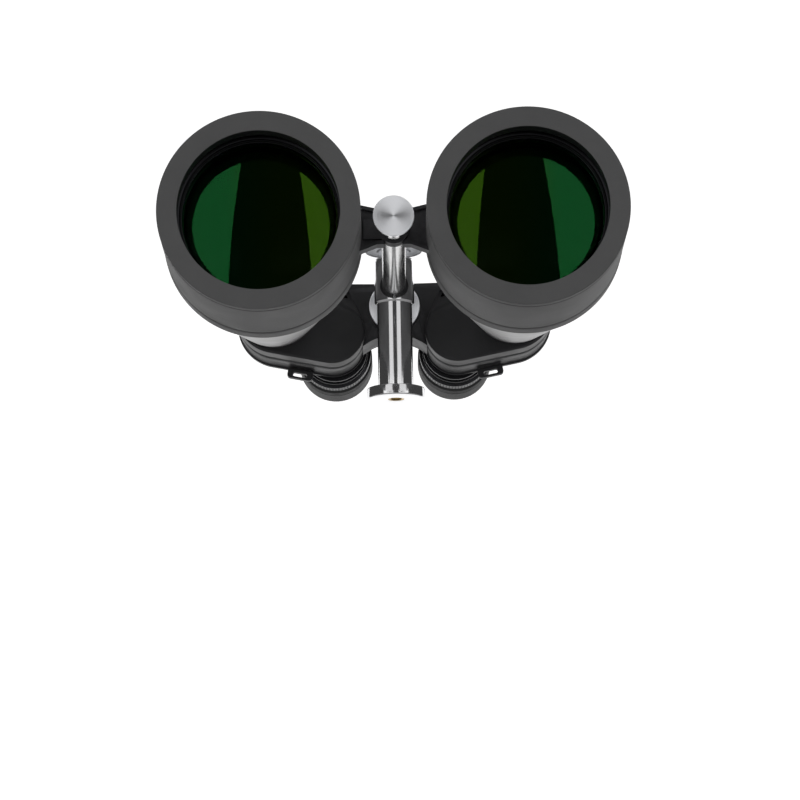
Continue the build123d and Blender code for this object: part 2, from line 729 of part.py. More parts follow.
def focus_ring():
    skirt_bore = BARREL_R + RUN
    body = eye_ring([
        (skirt_bore, RING_FRONT), (RING_SKIRT_R, RING_FRONT),
        (RING_SKIRT_R, RING_KNURL_FRONT), (RING_R, RING_KNURL_FRONT),
        (RING_R, RING_REAR), (RING_HUB_R, RING_REAR), (RING_HUB_R, RING_HUB_REAR),
        (BARREL_BORE_R, RING_HUB_REAR), (BARREL_BORE_R, RING_WEB_FRONT),
        (skirt_bore, RING_WEB_FRONT),
    ])
    length = RING_REAR - RING_KNURL_FRONT
    ribs = [
        place * Box(2 * RING_RIB_D, 2 * RING_RIB_D, length - 2 * RING_RIB_MARGIN)
        for place in PolarLocations(RING_R, RING_RIBS)
    ]
    middle = at((RING_KNURL_FRONT + RING_REAR) / 2)
    grooves = Pos(EYE_X, middle, ROD_Z + EYE_Z) * Rot(90, 0, 0) * Compound(children=ribs)
    return body - grooves


def eyecup():
    neck_end = RING_REAR + EYECUP_NECK_L
    cup_bore = EYECUP_R - EYECUP_WALL
    return eye_ring([
        (RING_HUB_R + SLIP, RING_REAR), (EYECUP_NECK_R, RING_REAR),
        (EYECUP_NECK_R, neck_end), (EYECUP_R, neck_end + EYECUP_FLARE),
        (EYECUP_R, EYECUP_REAR - EYECUP_ROLL), (EYECUP_R - EYECUP_ROLL, EYECUP_REAR),
        (cup_bore + EYECUP_LIP, EYECUP_REAR), (cup_bore, EYECUP_REAR - EYECUP_ROLL),
        (RING_HUB_R + SLIP, RING_HUB_REAR + EYECUP_ROLL),
    ])


# ----------------------------------------------------------------------- build
def post_parts():
    return {
        "post_body": post_body(),
        "post_foot": post_foot(),
        "tripod_insert": tripod_insert(),
        "rod_bush": rod_bush(),
        "clamp_pad": clamp_pad(),
        "clamp_screw": clamp_screw(),
        "clamp_knob": clamp_knob(),
        "central_rod": central_rod(),
        "front_cap": front_cap(),
        "rear_disc": rear_disc(),
        "rear_cap": rear_cap(),
        "hinge_washers": hinge_washers(),
    }


def side_parts(front_knuckle, rear_knuckle):
    """One half of the binoculars on +X; the knuckles say where its hinge lugs lie."""
    return {
        "lens_hood": lens_hood(),
        "objective_tube": objective_tube(),
        "lens_cell": lens_cell(),
        "lens_retainer": lens_retainer(),
        "crown_lens": crown_lens(),
        "flint_lens": flint_lens(),
        "prism_housing": prism_housing(rear_knuckle),
        "front_prism": front_prism(),
        "rear_prism": rear_prism(),
        "prism_shelf": prism_shelf(),
        "prism_clips": prism_clips(),
        "strap_lug": strap_lug(),
        "bridge_arm": front_bridge_arm(front_knuckle),
        "rear_cover": rear_cover(),
        "cover_screws": cover_screws(),
        "eyepiece_barrel": eyepiece_barrel(),
        "ocular_tube": ocular_tube(),
        "field_stop": field_stop(),
        "field_lens": ocular_lens(FIELD_LENS_STATION, FIELD_LENS_T),
        "eye_lens": ocular_lens(EYE_LENS_STATION, EYE_LENS_T),
        "focus_ring": focus_ring(),
        "eyecup": eyecup(),
    }


def main():
    os.makedirs("parts", exist_ok=True)
    for name, shape in post_parts().items():
        save(shape, name)
    front_split, _, rear_split, _ = washer_stations()
    left = side_parts((BRIDGE_FRONT, front_split), (REAR_BRIDGE_FRONT, rear_split))
    right = side_parts(
        (front_split + WASHER_T, BRIDGE_REAR), (rear_split + WASHER_T, REAR_BRIDGE_REAR)
    )
    for name, shape in left.items():
        save(mirror(shape, about=Plane.YZ), "left_" + name)
    for name, shape in right.items():
        save(shape, "right_" + name)


main()
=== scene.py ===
"""Giant binoculars on a sliding tripod post: surfaces, finishes, lights and camera.

Everything is in metres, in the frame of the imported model: +Z up, +Y from the objective
lenses to the eyepieces, origin at the tripod socket.  Profiles are written in
millimetres and turned into metres where they are swept.
"""

import json
import math

import bmesh
import bpy
import numpy as np
from bpy.props import FloatProperty, FloatVectorProperty, IntProperty, PointerProperty
from bpy.types import Operator, Panel, PropertyGroup
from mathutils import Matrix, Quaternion, Vector


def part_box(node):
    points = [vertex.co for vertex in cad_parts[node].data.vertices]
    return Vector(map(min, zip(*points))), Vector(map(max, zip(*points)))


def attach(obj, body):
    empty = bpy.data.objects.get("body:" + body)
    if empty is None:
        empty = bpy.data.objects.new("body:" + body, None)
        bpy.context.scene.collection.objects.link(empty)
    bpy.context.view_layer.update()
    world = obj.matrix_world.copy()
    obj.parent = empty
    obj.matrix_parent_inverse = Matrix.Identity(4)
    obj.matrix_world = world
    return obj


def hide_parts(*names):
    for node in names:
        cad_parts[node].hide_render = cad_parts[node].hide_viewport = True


bl_info = {
    "name": "Giant binoculars",
    "version": (1, 0, 0),
    "blender": (4, 5, 0),
    "location": "3D View > Sidebar > Binoculars",
    "description": "Builds the surfaces and finishes of giant binoculars on their post",
    "category": "Object",
}

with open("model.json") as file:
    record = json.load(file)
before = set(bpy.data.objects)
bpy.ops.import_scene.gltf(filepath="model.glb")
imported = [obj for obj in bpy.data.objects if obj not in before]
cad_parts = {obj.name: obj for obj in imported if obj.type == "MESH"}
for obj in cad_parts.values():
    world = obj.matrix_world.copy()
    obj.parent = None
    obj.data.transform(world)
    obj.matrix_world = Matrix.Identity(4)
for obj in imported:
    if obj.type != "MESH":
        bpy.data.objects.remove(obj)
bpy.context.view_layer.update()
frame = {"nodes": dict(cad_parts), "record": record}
NODES = frame["nodes"]
MM = 0.001
SIDES = (("left", -1), ("right", 1))
TURNS = 192


# ------------------------------------------------------------- places from the frame
def low_high(node):
    """Lowest and highest corner of a CAD node as arrays."""
    low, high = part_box(node)
    return np.array(low), np.array(high)


def middle(node):
    low, high = low_high(node)
    return (low + high) / 2


def half_width(node):
    low, high = low_high(node)
    return (high[0] - low[0]) / 2


def mount(name):
    """The record's mount of that name."""
    return next(m for m in frame["record"]["mounts"] if m["name"] == name)


def mount_radius(name):
    return mount(name)["dims"]["r_mm"]


ROD = middle("central_rod")
FACE_Y = low_high("left_lens_hood")[0][1]


# --------------------------------------------------------------------- surface making
def rounded(points, steps=5):
    """Closed outline with its corners rounded.

    Each point is (radius, along, corner).  A corner is the quadratic curve from a spot
    `corner` before the point to a spot `corner` after it, pulled towards the point.
    """
    spots = np.array([p[:2] for p in points], float)
    before = np.roll(spots, 1, axis=0) - spots
    after = np.roll(spots, -1, axis=0) - spots
    outline = []
    for index, point in enumerate(points):
        corner = point[2] if len(point) > 2 else 0.0
        back = np.linalg.norm(before[index])
        ahead = np.linalg.norm(after[index])
        reach = min(corner, 0.48 * back, 0.48 * ahead)
        if reach <= 0:
            outline.append(spots[index][None])
            continue
        s = np.linspace(0, 1, steps)[:, None]
        start = spots[index] + before[index] * reach / back
        end = spots[index] + after[index] * reach / ahead
        curve = (1 - s) ** 2 * start + 2 * s * (1 - s) * spots[index] + s ** 2 * end
        outline.append(curve)
    return np.concatenate(outline)


def divided(outline, longest):
    """Closed outline with points added so that no stretch is longer than `longest`."""
    following = np.roll(outline, -1, axis=0)
    lengths = np.linalg.norm(following - outline, axis=1)
    pieces = []
    for spot, end, length in zip(outline, following, lengths):
        count = max(1, int(math.ceil(length / longest)))
        share = np.arange(count)[:, None] / count
        pieces.append(spot + (end - spot) * share)
    return np.concatenate(pieces)


def grid_mesh(name, grid, wrap_v=True):
    """Mesh through a (u, v) grid of points.  u always wraps; v wraps for closed outlines.

    Points that fall together, as at a pole, are merged, and faces are turned outwards.
    The UV map runs once round in u and by true length along v.
    """
    count_u, count_v = grid.shape[:2]
    last_v = count_v if wrap_v else count_v - 1
    u, v = np.meshgrid(np.arange(count_u), np.arange(last_v), indexing="ij")
    next_u, next_v = (u + 1) % count_u, (v + 1) % count_v
    corners = [u * count_v + v, next_u * count_v + v,
               next_u * count_v + next_v, u * count_v + next_v]
    faces = np.stack(corners, axis=-1).reshape(-1, 4)
    mesh = bpy.data.meshes.new(name)
    mesh.from_pydata(grid.reshape(-1, 3), [], faces)
    steps = np.linalg.norm(np.diff(grid[0], axis=0, append=grid[:1, 0][:, :]), axis=1)
    along = np.concatenate([[0], np.cumsum(steps)])
    uv_u = np.stack([u, u + 1, u + 1, u], axis=-1) / count_u
    uv_v = along[np.stack([v, v, v + 1, v + 1], axis=-1)] * 10
    layer = mesh.uv_layers.new(name="UVMap")
    layer.data.foreach_set("uv", np.stack([uv_u, uv_v], axis=-1).astype(np.float32).ravel())
    work = bmesh.new()
    work.from_mesh(mesh)
    bmesh.ops.remove_doubles(work, verts=work.verts, dist=1e-7)
    bmesh.ops.recalc_face_normals(work, faces=work.faces)
    work.to_mesh(mesh)
    work.free()
    return mesh


def smooth(mesh, angle=35):
    mesh.shade_smooth()
    mesh.set_sharp_from_angle(angle=math.radians(angle))


def new_object(name, mesh, materials, body, slot, *nodes):
    """Puts a finished mesh into the scene, on its body, in place of CAD nodes."""
    piece = bpy.data.objects.new(name, mesh)
    bpy.context.scene.collection.objects.link(piece)
    for material in materials:
        mesh.materials.append(material)
    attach(piece, body)
    if nodes:
        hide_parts(*nodes)
    return piece


def lathe(name, points, centre, axis="Y", turns=TURNS, longest=None, ripple=None):
    """Solid of revolution about an axis along Y or Z.

    point(angle, v) = centre + (radius(v) + ripple(angle, v)) * (cos angle, sin angle)
    across the axis, and along(v) on it.  Radii and distances are in millimetres.
    """
    outline = rounded(points)
    if longest:
        outline = divided(outline, longest)
    angle = np.linspace(0, 2 * math.pi, turns, endpoint=False)[:, None]
    radius, along = outline[None, :, 0], outline[None, :, 1]
    if ripple is not None:
        radius = radius + ripple(angle, radius, along)
    radius = np.broadcast_to(radius, (turns, outline.shape[0])) * MM
    along = np.broadcast_to(along, radius.shape) * MM
    grid = np.empty(radius.shape + (3,))
    other = 2 if axis == "Y" else 1
    grid[..., 0] = centre[0] + radius * np.cos(angle)
    grid[..., other] = centre[other] + radius * np.sin(angle)
    line = 1 if axis == "Y" else 2
    grid[..., line] = centre[line] + along
    mesh = grid_mesh(name, grid)
    smooth(mesh)
    return mesh


def paint_faces(mesh, slot, test):
    """Gives a material slot to the faces whose centre passes a test on its array."""
    centres = np.empty(len(mesh.polygons) * 3)
    mesh.polygons.foreach_get("center", centres)
    indices = np.zeros(len(mesh.polygons), np.int32)
    mesh.polygons.foreach_get("material_index", indices)
    indices[test(centres.reshape(-1, 3))] = slot
    mesh.polygons.foreach_set("material_index", indices)


def off_axis(centres, centre):
    """Distance of each point from a line along Y, in millimetres."""
    return np.hypot(centres[:, 0] - centre[0], centres[:, 2] - centre[2]) / MM


def merged_copy(node):
    """Copy of a CAD node's mesh with doubles merged and flat facets joined."""
    mesh = NODES[node].data.copy()
    mesh.materials.clear()
    work = bmesh.new()
    work.from_mesh(mesh)
    bmesh.ops.remove_doubles(work, verts=work.verts, dist=2e-6)
    bmesh.ops.dissolve_limit(
        work, angle_limit=math.radians(0.6), verts=work.verts, edges=work.edges
    )
    work.to_mesh(mesh)
    work.free()
    smooth(mesh, 30)
    return mesh


def bevelled(piece, width, segments=3):
    """Rounds a cast or milled piece's edges over, by a width in millimetres."""
    bevel = piece.modifiers.new("rounded edges", "BEVEL")
    bevel.width = width * MM
    bevel.segments = segments
    bevel.limit_method = "ANGLE"
    bevel.angle_limit = math.radians(32)
    bevel.harden_normals = True
    bevel.use_clamp_overlap = True


def softened(name, node, width, body, slot, materials):
    """Copy of a cast or milled CAD node with its edges rounded over."""
    piece = new_object(name, merged_copy(node), materials, body, slot, node)
    bevelled(piece, width)


def cut(piece, bore):
    """Takes a closed mesh out of a piece and keeps the result as its mesh."""
    tool = bpy.data.objects.new("cutter", bore)
    bpy.context.scene.collection.objects.link(tool)
    modifier = piece.modifiers.new("bore", "BOOLEAN")
    modifier.operation = "DIFFERENCE"
    modifier.solver = "EXACT"
    modifier.object = tool
    depsgraph = bpy.context.evaluated_depsgraph_get()
    done = bpy.data.meshes.new_from_object(piece.evaluated_get(depsgraph))
    piece.modifiers.clear()
    piece.data = done
    bpy.data.objects.remove(tool)


# -------------------------------------------------------------------------- finishes
def new_group(name, inputs, outputs):
    """Empty node group with named sockets: inputs are (name, default, kind)."""
    group = bpy.data.node_groups.new(name, "ShaderNodeTree")
    for label, default, kind in inputs:
        socket = group.interface.new_socket(label, in_out="INPUT", socket_type=kind)
        if default is not None:
            socket.default_value = default
    for label, kind in outputs:
        group.interface.new_socket(label, in_out="OUTPUT", socket_type=kind)
    source = group.nodes.new("NodeGroupInput")
    sink = group.nodes.new("NodeGroupOutput")
    return group, source, sink


FLOAT = "NodeSocketFloat"
VECTOR = "NodeSocketVector"


def grain_group():
    """Fine moulded or painted grain: two noises give a height and a mottle from 0 to 1."""
    group, source, sink = new_group(
        "Surface grain",
        [("Scale", 2500.0, FLOAT), ("Strength", 0.1, FLOAT), ("Mottle scale", 60.0, FLOAT)],
        [("Normal", VECTOR), ("Mottle", FLOAT)],
    )
    nodes, links = group.nodes, group.links
    place = nodes.new("ShaderNodeTexCoord")
    fine = nodes.new("ShaderNodeTexNoise")
    fine.inputs["Detail"].default_value = 3.0
    broad = nodes.new("ShaderNodeTexNoise")
    broad.inputs["Detail"].default_value = 4.0
    bump = nodes.new("ShaderNodeBump")
    bump.inputs["Distance"].default_value = 0.0002
    links.new(place.outputs["Object"], fine.inputs["Vector"])
    links.new(place.outputs["Object"], broad.inputs["Vector"])
    links.new(source.outputs["Scale"], fine.inputs["Scale"])
    links.new(source.outputs["Mottle scale"], broad.inputs["Scale"])
    links.new(source.outputs["Strength"], bump.inputs["Strength"])
    links.new(fine.outputs["Fac"], bump.inputs["Height"])
    links.new(bump.outputs["Normal"], sink.inputs["Normal"])
    links.new(broad.outputs["Fac"], sink.inputs["Mottle"])
    return group


def wear_group():
    """Mask of rubbed edges: sharp outward edges, broken up by a noise."""
    group, source, sink = new_group(
        "Rubbed edges",
        [("Amount", 0.5, FLOAT), ("Break-up scale", 300.0, FLOAT)],
        [("Mask", FLOAT)],
    )
    nodes, links = group.nodes, group.links
    geometry = nodes.new("ShaderNodeNewGeometry")
    edge = nodes.new("ShaderNodeMapRange")
    edge.inputs["From Min"].default_value = 0.52
    edge.inputs["From Max"].default_value = 0.62
    place = nodes.new("ShaderNodeTexCoord")
    noise = nodes.new("ShaderNodeTexNoise")
    noise.inputs["Detail"].default_value = 5.0
    broken = nodes.new("ShaderNodeMath")
    broken.operation = "MULTIPLY"
    scaled = nodes.new("ShaderNodeMath")
    scaled.operation = "MULTIPLY"
    links.new(geometry.outputs["Pointiness"], edge.inputs["Value"])
    links.new(place.outputs["Object"], noise.inputs["Vector"])
    links.new(source.outputs["Break-up scale"], noise.inputs["Scale"])
    links.new(edge.outputs["Result"], broken.inputs[0])
    links.new(noise.outputs["Fac"], broken.inputs[1])
    links.new(broken.outputs[0], scaled.inputs[0])
    links.new(source.outputs["Amount"], scaled.inputs[1])
    links.new(scaled.outputs[0], sink.inputs["Mask"])
    return group


def smudge_group():
    """Roughness that wanders between two values, as handled or dusty surfaces do."""
    group, source, sink = new_group(
        "Handled surface",
        [("Low", 0.3, FLOAT), ("High", 0.5, FLOAT), ("Scale", 40.0, FLOAT)],
        [("Roughness", FLOAT)],
    )
    nodes, links = group.nodes, group.links
    place = nodes.new("ShaderNodeTexCoord")
    noise = nodes.new("ShaderNodeTexNoise")
    noise.inputs["Detail"].default_value = 6.0
    noise.inputs["Distortion"].default_value = 0.6
    spread = nodes.new("ShaderNodeMapRange")
    spread.inputs["From Min"].default_value = 0.3
    spread.inputs["From Max"].default_value = 0.7
    links.new(place.outputs["Object"], noise.inputs["Vector"])
    links.new(source.outputs["Scale"], noise.inputs["Scale"])
    links.new(noise.outputs["Fac"], spread.inputs["Value"])
    links.new(source.outputs["Low"], spread.inputs["To Min"])
    links.new(source.outputs["High"], spread.inputs["To Max"])
    links.new(spread.outputs["Result"], sink.inputs["Roughness"])
    return group


def lathe_mark_group():
    """Fine rings left by a turning tool, as stripes along the UV map's length."""
    group, source, sink = new_group(
        "Turning marks",
        [("Rings", 900.0, FLOAT), ("Strength", 0.1, FLOAT)],
        [("Normal", VECTOR), ("Streak", FLOAT)],
    )
    nodes, links = group.nodes, group.links
    place = nodes.new("ShaderNodeTexCoord")
    split = nodes.new("ShaderNodeSeparateXYZ")
    rings = nodes.new("ShaderNodeMath")
    rings.operation = "MULTIPLY"
    noise = nodes.new("ShaderNodeTexNoise")
    noise.noise_dimensions = "1D"
    noise.inputs["Scale"].default_value = 1.0
    noise.inputs["Detail"].default_value = 3.0
    bump = nodes.new("ShaderNodeBump")
    bump.inputs["Distance"].default_value = 0.00005
    links.new(place.outputs["UV"], split.inputs[0])
    links.new(split.outputs["Y"], rings.inputs[0])
    links.new(source.outputs["Rings"], rings.inputs[1])
    links.new(rings.outputs[0], noise.inputs["W"])
    links.new(noise.outputs["Fac"], bump.inputs["Height"])
    links.new(source.outputs["Strength"], bump.inputs["Strength"])
    links.new(bump.outputs["Normal"], sink.inputs["Normal"])
    links.new(noise.outputs["Fac"], sink.inputs["Streak"])
    return group


GROUPS = {}


def group_node(tree, maker, **values):
    """Places a shared group in a material with its own input values."""
    if maker not in GROUPS:
        GROUPS[maker] = maker()
    node = tree.nodes.new("ShaderNodeGroup")
    node.node_tree = GROUPS[maker]
    for label, value in values.items():
        node.inputs[label.replace("_", " ")].default_value = value
    return node


def blank_material(name):
    """(material, node tree, its Principled shader)."""
    material = bpy.data.materials.new(name)
    material.use_nodes = True
    tree = material.node_tree
    return material, tree, tree.nodes["Principled BSDF"]


def two_tone(tree, shader, mask, first, second):
    """Base colour that goes from first to second by a mask; returns its output."""
    mix = tree.nodes.new("ShaderNodeMix")
    mix.data_type = "RGBA"
    mix.inputs["A"].default_value = (*first, 1)
    mix.inputs["B"].default_value = (*second, 1)
    tree.links.new(mask, mix.inputs["Factor"])
    tree.links.new(mix.outputs["Result"], shader.inputs["Base Color"])
    return mix.outputs["Result"]


def rubber(name, base, low=0.55, high=0.68, grain=0.25, scale=2600.0):
    """Moulded rubber: matt, finely grained, a little paler where it is mottled."""
    material, tree, shader = blank_material(name)
    skin = group_node(tree, grain_group, Scale=scale, Strength=grain)
    hand = group_node(tree, smudge_group, Low=low, High=high, Scale=30.0)
    pale = tuple(min(1.0, c * 1.25) for c in base)
    two_tone(tree, shader, skin.outputs["Mottle"], base, pale)
    tree.links.new(skin.outputs["Normal"], shader.inputs["Normal"])
    tree.links.new(hand.outputs["Roughness"], shader.inputs["Roughness"])
    shader.inputs["Specular IOR Level"].default_value = 0.4
    shader.inputs["Sheen Weight"].default_value = 0.05
    return material


def paint(name, base, bare, low, high, grain, wear=0.5, coat=0.0):
    """Fine-grained paint on cast metal, rubbed to a paler tone along its edges."""
    material, tree, shader = blank_material(name)
    skin = group_node(tree, grain_group, Scale=1800.0, Strength=grain, Mottle_scale=45.0)
    rub = group_node(tree, wear_group, Amount=wear)
    hand = group_node(tree, smudge_group, Low=low, High=high, Scale=55.0)
    colour = two_tone(tree, shader, skin.outputs["Mottle"], base, tuple(c * 1.15 for c in base))
    worn = tree.nodes.new("ShaderNodeMix")
    worn.data_type = "RGBA"
    worn.inputs["B"].default_value = (*bare, 1)
    tree.links.new(rub.outputs["Mask"], worn.inputs["Factor"])
    tree.links.new(colour, worn.inputs["A"])
    tree.links.new(worn.outputs["Result"], shader.inputs["Base Color"])
    tree.links.new(skin.outputs["Normal"], shader.inputs["Normal"])
    tree.links.new(hand.outputs["Roughness"], shader.inputs["Roughness"])
    shader.inputs["Coat Weight"].default_value = coat
    shader.inputs["Coat Roughness"].default_value = 0.25
    return material


def turned_metal(name, base, low, high, rings, depth, anisotropy, rotation=0.25):
    """Machined metal with the fine rings of a lathe and highlights stretched by them."""
    material, tree, shader = blank_material(name)
    marks = group_node(tree, lathe_mark_group, Rings=rings, Strength=depth)
    hand = group_node(tree, smudge_group, Low=low, High=high, Scale=70.0)
    two_tone(tree, shader, marks.outputs["Streak"], tuple(c * 0.92 for c in base), base)
    tree.links.new(marks.outputs["Normal"], shader.inputs["Normal"])
    tree.links.new(hand.outputs["Roughness"], shader.inputs["Roughness"])
    shader.inputs["Metallic"].default_value = 1.0
    shader.inputs["Anisotropic"].default_value = anisotropy
    shader.inputs["Anisotropic Rotation"].default_value = rotation
    tangent = tree.nodes.new("ShaderNodeTangent")
    tangent.direction_type = "UV_MAP"
    tangent.uv_map = "UVMap"
    tree.links.new(tangent.outputs["Tangent"], shader.inputs["Tangent"])
    return material


def plain_metal(name, base, low, high, grain=0.05):
    """Bright metal on small fittings, a little uneven in its polish."""
    material, tree, shader = blank_material(name)
    skin = group_node(tree, grain_group, Scale=1500.0, Strength=grain)
    hand = group_node(tree, smudge_group, Low=low, High=high, Scale=90.0)
    two_tone(tree, shader, skin.outputs["Mottle"], tuple(c * 0.9 for c in base), base)
    tree.links.new(skin.outputs["Normal"], shader.inputs["Normal"])
    tree.links.new(hand.outputs["Roughness"], shader.inputs["Roughness"])
    shader.inputs["Metallic"].default_value = 1.0
    return material


def coating_tint_painted_by_side(tree, inner, outer):
    """Colour mirrored by the coating, with a painted shift from the inner to the outer side of
    each lens: the green is the coating's own, but the change from yellow-green inside to bluer
    green outside is painted reflection colour that stands in for the coating's change of colour
    with the angle of the mirrored light.
    """
    place = tree.nodes.new("ShaderNodeTexCoord")
    split = tree.nodes.new("ShaderNodeSeparateXYZ")
    distance = tree.nodes.new("ShaderNodeMath")
    distance.operation = "ABSOLUTE"
    share = tree.nodes.new("ShaderNodeMapRange")
    share.interpolation_type = "SMOOTHSTEP"
    share.inputs["From Min"].default_value = 0.055
    share.inputs["From Max"].default_value = 0.088
    mix = tree.nodes.new("ShaderNodeMix")
    mix.data_type = "RGBA"
    mix.inputs["A"].default_value = (*inner, 1)
    mix.inputs["B"].default_value = (*outer, 1)
    tree.links.new(place.outputs["Object"], split.inputs[0])
    # Painted reflection colour: the tint follows the distance from the middle plane, standing in
    # for its change with the angle of the light.
    tree.links.new(split.outputs["X"], distance.inputs[0])
    tree.links.new(distance.outputs[0], share.inputs["Value"])
    tree.links.new(share.outputs["Result"], mix.inputs["Factor"])
    return mix.outputs["Result"]


def coated_glass(name, inner, outer):
    """Front face of an objective: clear glass under a strongly tinted coating, whose tint has a
    painted shift from the inner to the outer side of the lens.
    """
    material = glass(name, (0.45, 0.46, 0.50), (1, 1, 1), 1.0)
    tree = material.node_tree
    tint = coating_tint_painted_by_side(tree, inner, outer)
    tree.links.new(tint, tree.nodes["Principled BSDF"].inputs["Specular Tint"])
    return material


def glass(name, base, tint, level, roughness=0.0):
    """Clear glass whose coating tints what it mirrors."""
    material, tree, shader = blank_material(name)
    film = group_node(tree, smudge_group, Low=roughness, High=roughness + 0.02, Scale=25.0)
    tree.links.new(film.outputs["Roughness"], shader.inputs["Roughness"])
    shader.inputs["Base Color"].default_value = (*base, 1)
    shader.inputs["Transmission Weight"].default_value = 1.0
    shader.inputs["IOR"].default_value = 1.52
    shader.inputs["Specular IOR Level"].default_value = level
    shader.inputs["Specular Tint"].default_value = (*tint, 1)
    return material


FINISHES = {}


def finish(name):
    """A finish from the sidebar's colours, made the first time it is asked for."""
    if name in FINISHES:
        return FINISHES[name]
    colours = bpy.context.scene.binocular_colours
    makers = {
        "hood rubber": lambda: rubber("Hood rubber", tuple(colours.rubber)),
        "eyecup rubber": lambda: rubber("Eyecup rubber", tuple(colours.eyecup), grain=0.35),
        "tube paint": lambda: paint(
            "Satin tube paint", tuple(colours.tube), (0.45, 0.45, 0.45), 0.30, 0.38, 0.04, 0.3),
        "casting paint": lambda: paint(
            "Black casting paint", tuple(colours.casting), (0.10, 0.10, 0.11), 0.42, 0.55, 0.12),
        "inner black": lambda: paint(
            "Matt black inside", (0.004, 0.004, 0.005), (0.01, 0.01, 0.01), 0.55, 0.7, 0.1, 0.0),
        "black anodising": lambda: turned_metal(
            "Black anodising", (0.035, 0.035, 0.038), 0.28, 0.36, 1500.0, 0.15, 0.2),
        "cell anodising": lambda: turned_metal(
            "Lens cell anodising", (0.02, 0.02, 0.022), 0.18, 0.24, 1500.0, 0.1, 0.0),
        "turned aluminium": lambda: turned_metal(
            "Turned aluminium", tuple(colours.aluminium), 0.28, 0.32, 500.0, 0.012, 0.8, 0.0),
        "polished aluminium": lambda: turned_metal(
            "Polished aluminium", tuple(colours.post), 0.10, 0.15, 700.0, 0.03, 0.45),
        "ground steel": lambda: turned_metal(
            "Ground steel", tuple(colours.rod), 0.16, 0.22, 1400.0, 0.05, 0.5),
        "fittings steel": lambda: plain_metal("Fittings steel", (0.55, 0.55, 0.56), 0.22, 0.32),
        "brass": lambda: plain_metal("Brass", (0.62, 0.43, 0.17), 0.25, 0.35),
        "nylon": lambda: rubber("Black nylon", (0.02, 0.02, 0.021), 0.35, 0.5, 0.1),
        "cap plastic": lambda: rubber("Black cap plastic", (0.015, 0.015, 0.016), 0.3, 0.42, 0.15),
        "coated lens": lambda: glass(
            "Coated lens", (0.93, 0.97, 0.94), tuple(colours.coating), 1.0),
        # The objective's coating tint is partly painted: its shift across each lens stands in for
        # the coating's change of colour with the angle of the mirrored light.
        "objective coating": lambda: coated_glass(
            "Objective coating", tuple(colours.coating_inner), tuple(colours.coating)),
        "bloomed glass": lambda: glass("Bloomed glass", (0.55, 0.57, 0.62), (0, 0, 0), 0.0),
        "prism glass": lambda: glass("Prism glass", (0.9, 0.95, 0.92), (1, 1, 1), 0.5),
    }
    FINISHES[name] = makers[name]()
    return FINISHES[name]


def finish_nodes(nodes, name):
    """Gives a CAD node that stays in view its finish."""
    for node in nodes:
        mesh = NODES[node].data
        mesh.materials.clear()
        mesh.materials.append(finish(name))


# --------------------------------------------------------------------------- settings
def colour(name, text, default):
    return FloatVectorProperty(
        name=name, description=text, default=default, size=3, subtype="COLOR", min=0, max=1
    )


def length(name, text, default):
    return FloatProperty(name=name, description=text, default=default, min=0.0)


class BINO_PG_colours(PropertyGroup):
    rubber: colour("Hood rubber", "Colour of the lens hoods", (0.082, 0.082, 0.083))
    eyecup: colour("Eyecup rubber", "Colour of the eyecups", (0.03, 0.03, 0.031))
    tube: colour("Tube paint", "Colour of the tapered tubes", (0.17, 0.17, 0.172))
    casting: colour("Casting paint", "Colour of housings and bridges", (0.012, 0.012, 0.014))
    aluminium: colour("Turned aluminium", "Colour of caps, disc and knob", (0.96, 0.97, 1.0))
    post: colour("Post", "Colour of the polished post", (0.74, 0.74, 0.75))
    rod: colour("Rod", "Colour of the central rod", (0.60, 0.60, 0.60))
    coating: colour("Coating", "Colour the coating mirrors outside", (0.09, 1.0, 0.25))
    # Painted reflection colour: the inner side's yellower green stands in for the coating's change
    # of colour with the angle of the mirrored light.
    coating_inner: colour("Inner coating", "Colour it mirrors inside", (0.36, 1.0, 0.05))


class BINO_PG_sizes(PropertyGroup):
    """Small shapes that the frame's boxes don't give, in millimetres."""
    hood_edge: length("Hood edge", "Rounding of the hood's outer edge, mm", 0.9)
    groove: length("Hood groove", "Depth of the hood's moulded lines, mm", 0.55)
    knurls: IntProperty(name="Knurls", description="Ribs round each focus ring", default=72)
    flutes: IntProperty(name="Flutes", description="Grip flutes round the knob", default=24)
    edge: length("Casting edge", "Rounding of the castings' edges, mm", 0.7)


class BINO_PG_stage(PropertyGroup):
    floor_z: FloatProperty(
        name="Floor", description="Height of the floor", default=-2.0, unit="LENGTH")
    lens: FloatProperty(name="Lens", description="Camera lens, mm", default=148.5)
    tilt: FloatProperty(
        name="Tilt", description="How far the camera looks up", subtype="ANGLE",
        default=math.radians(11.4))
    roll: FloatProperty(
        name="Roll", description="Turn of the camera about its view", subtype="ANGLE",
        default=math.radians(1.0))
    key: FloatProperty(name="Softboxes", description="Radiance of the pair", default=1.15)
    post: FloatProperty(name="Post lights", description="Radiance on the post", default=0.8)


class PieceOperator:
    """What the piece operators share."""
    bl_options = {"REGISTER", "UNDO"}


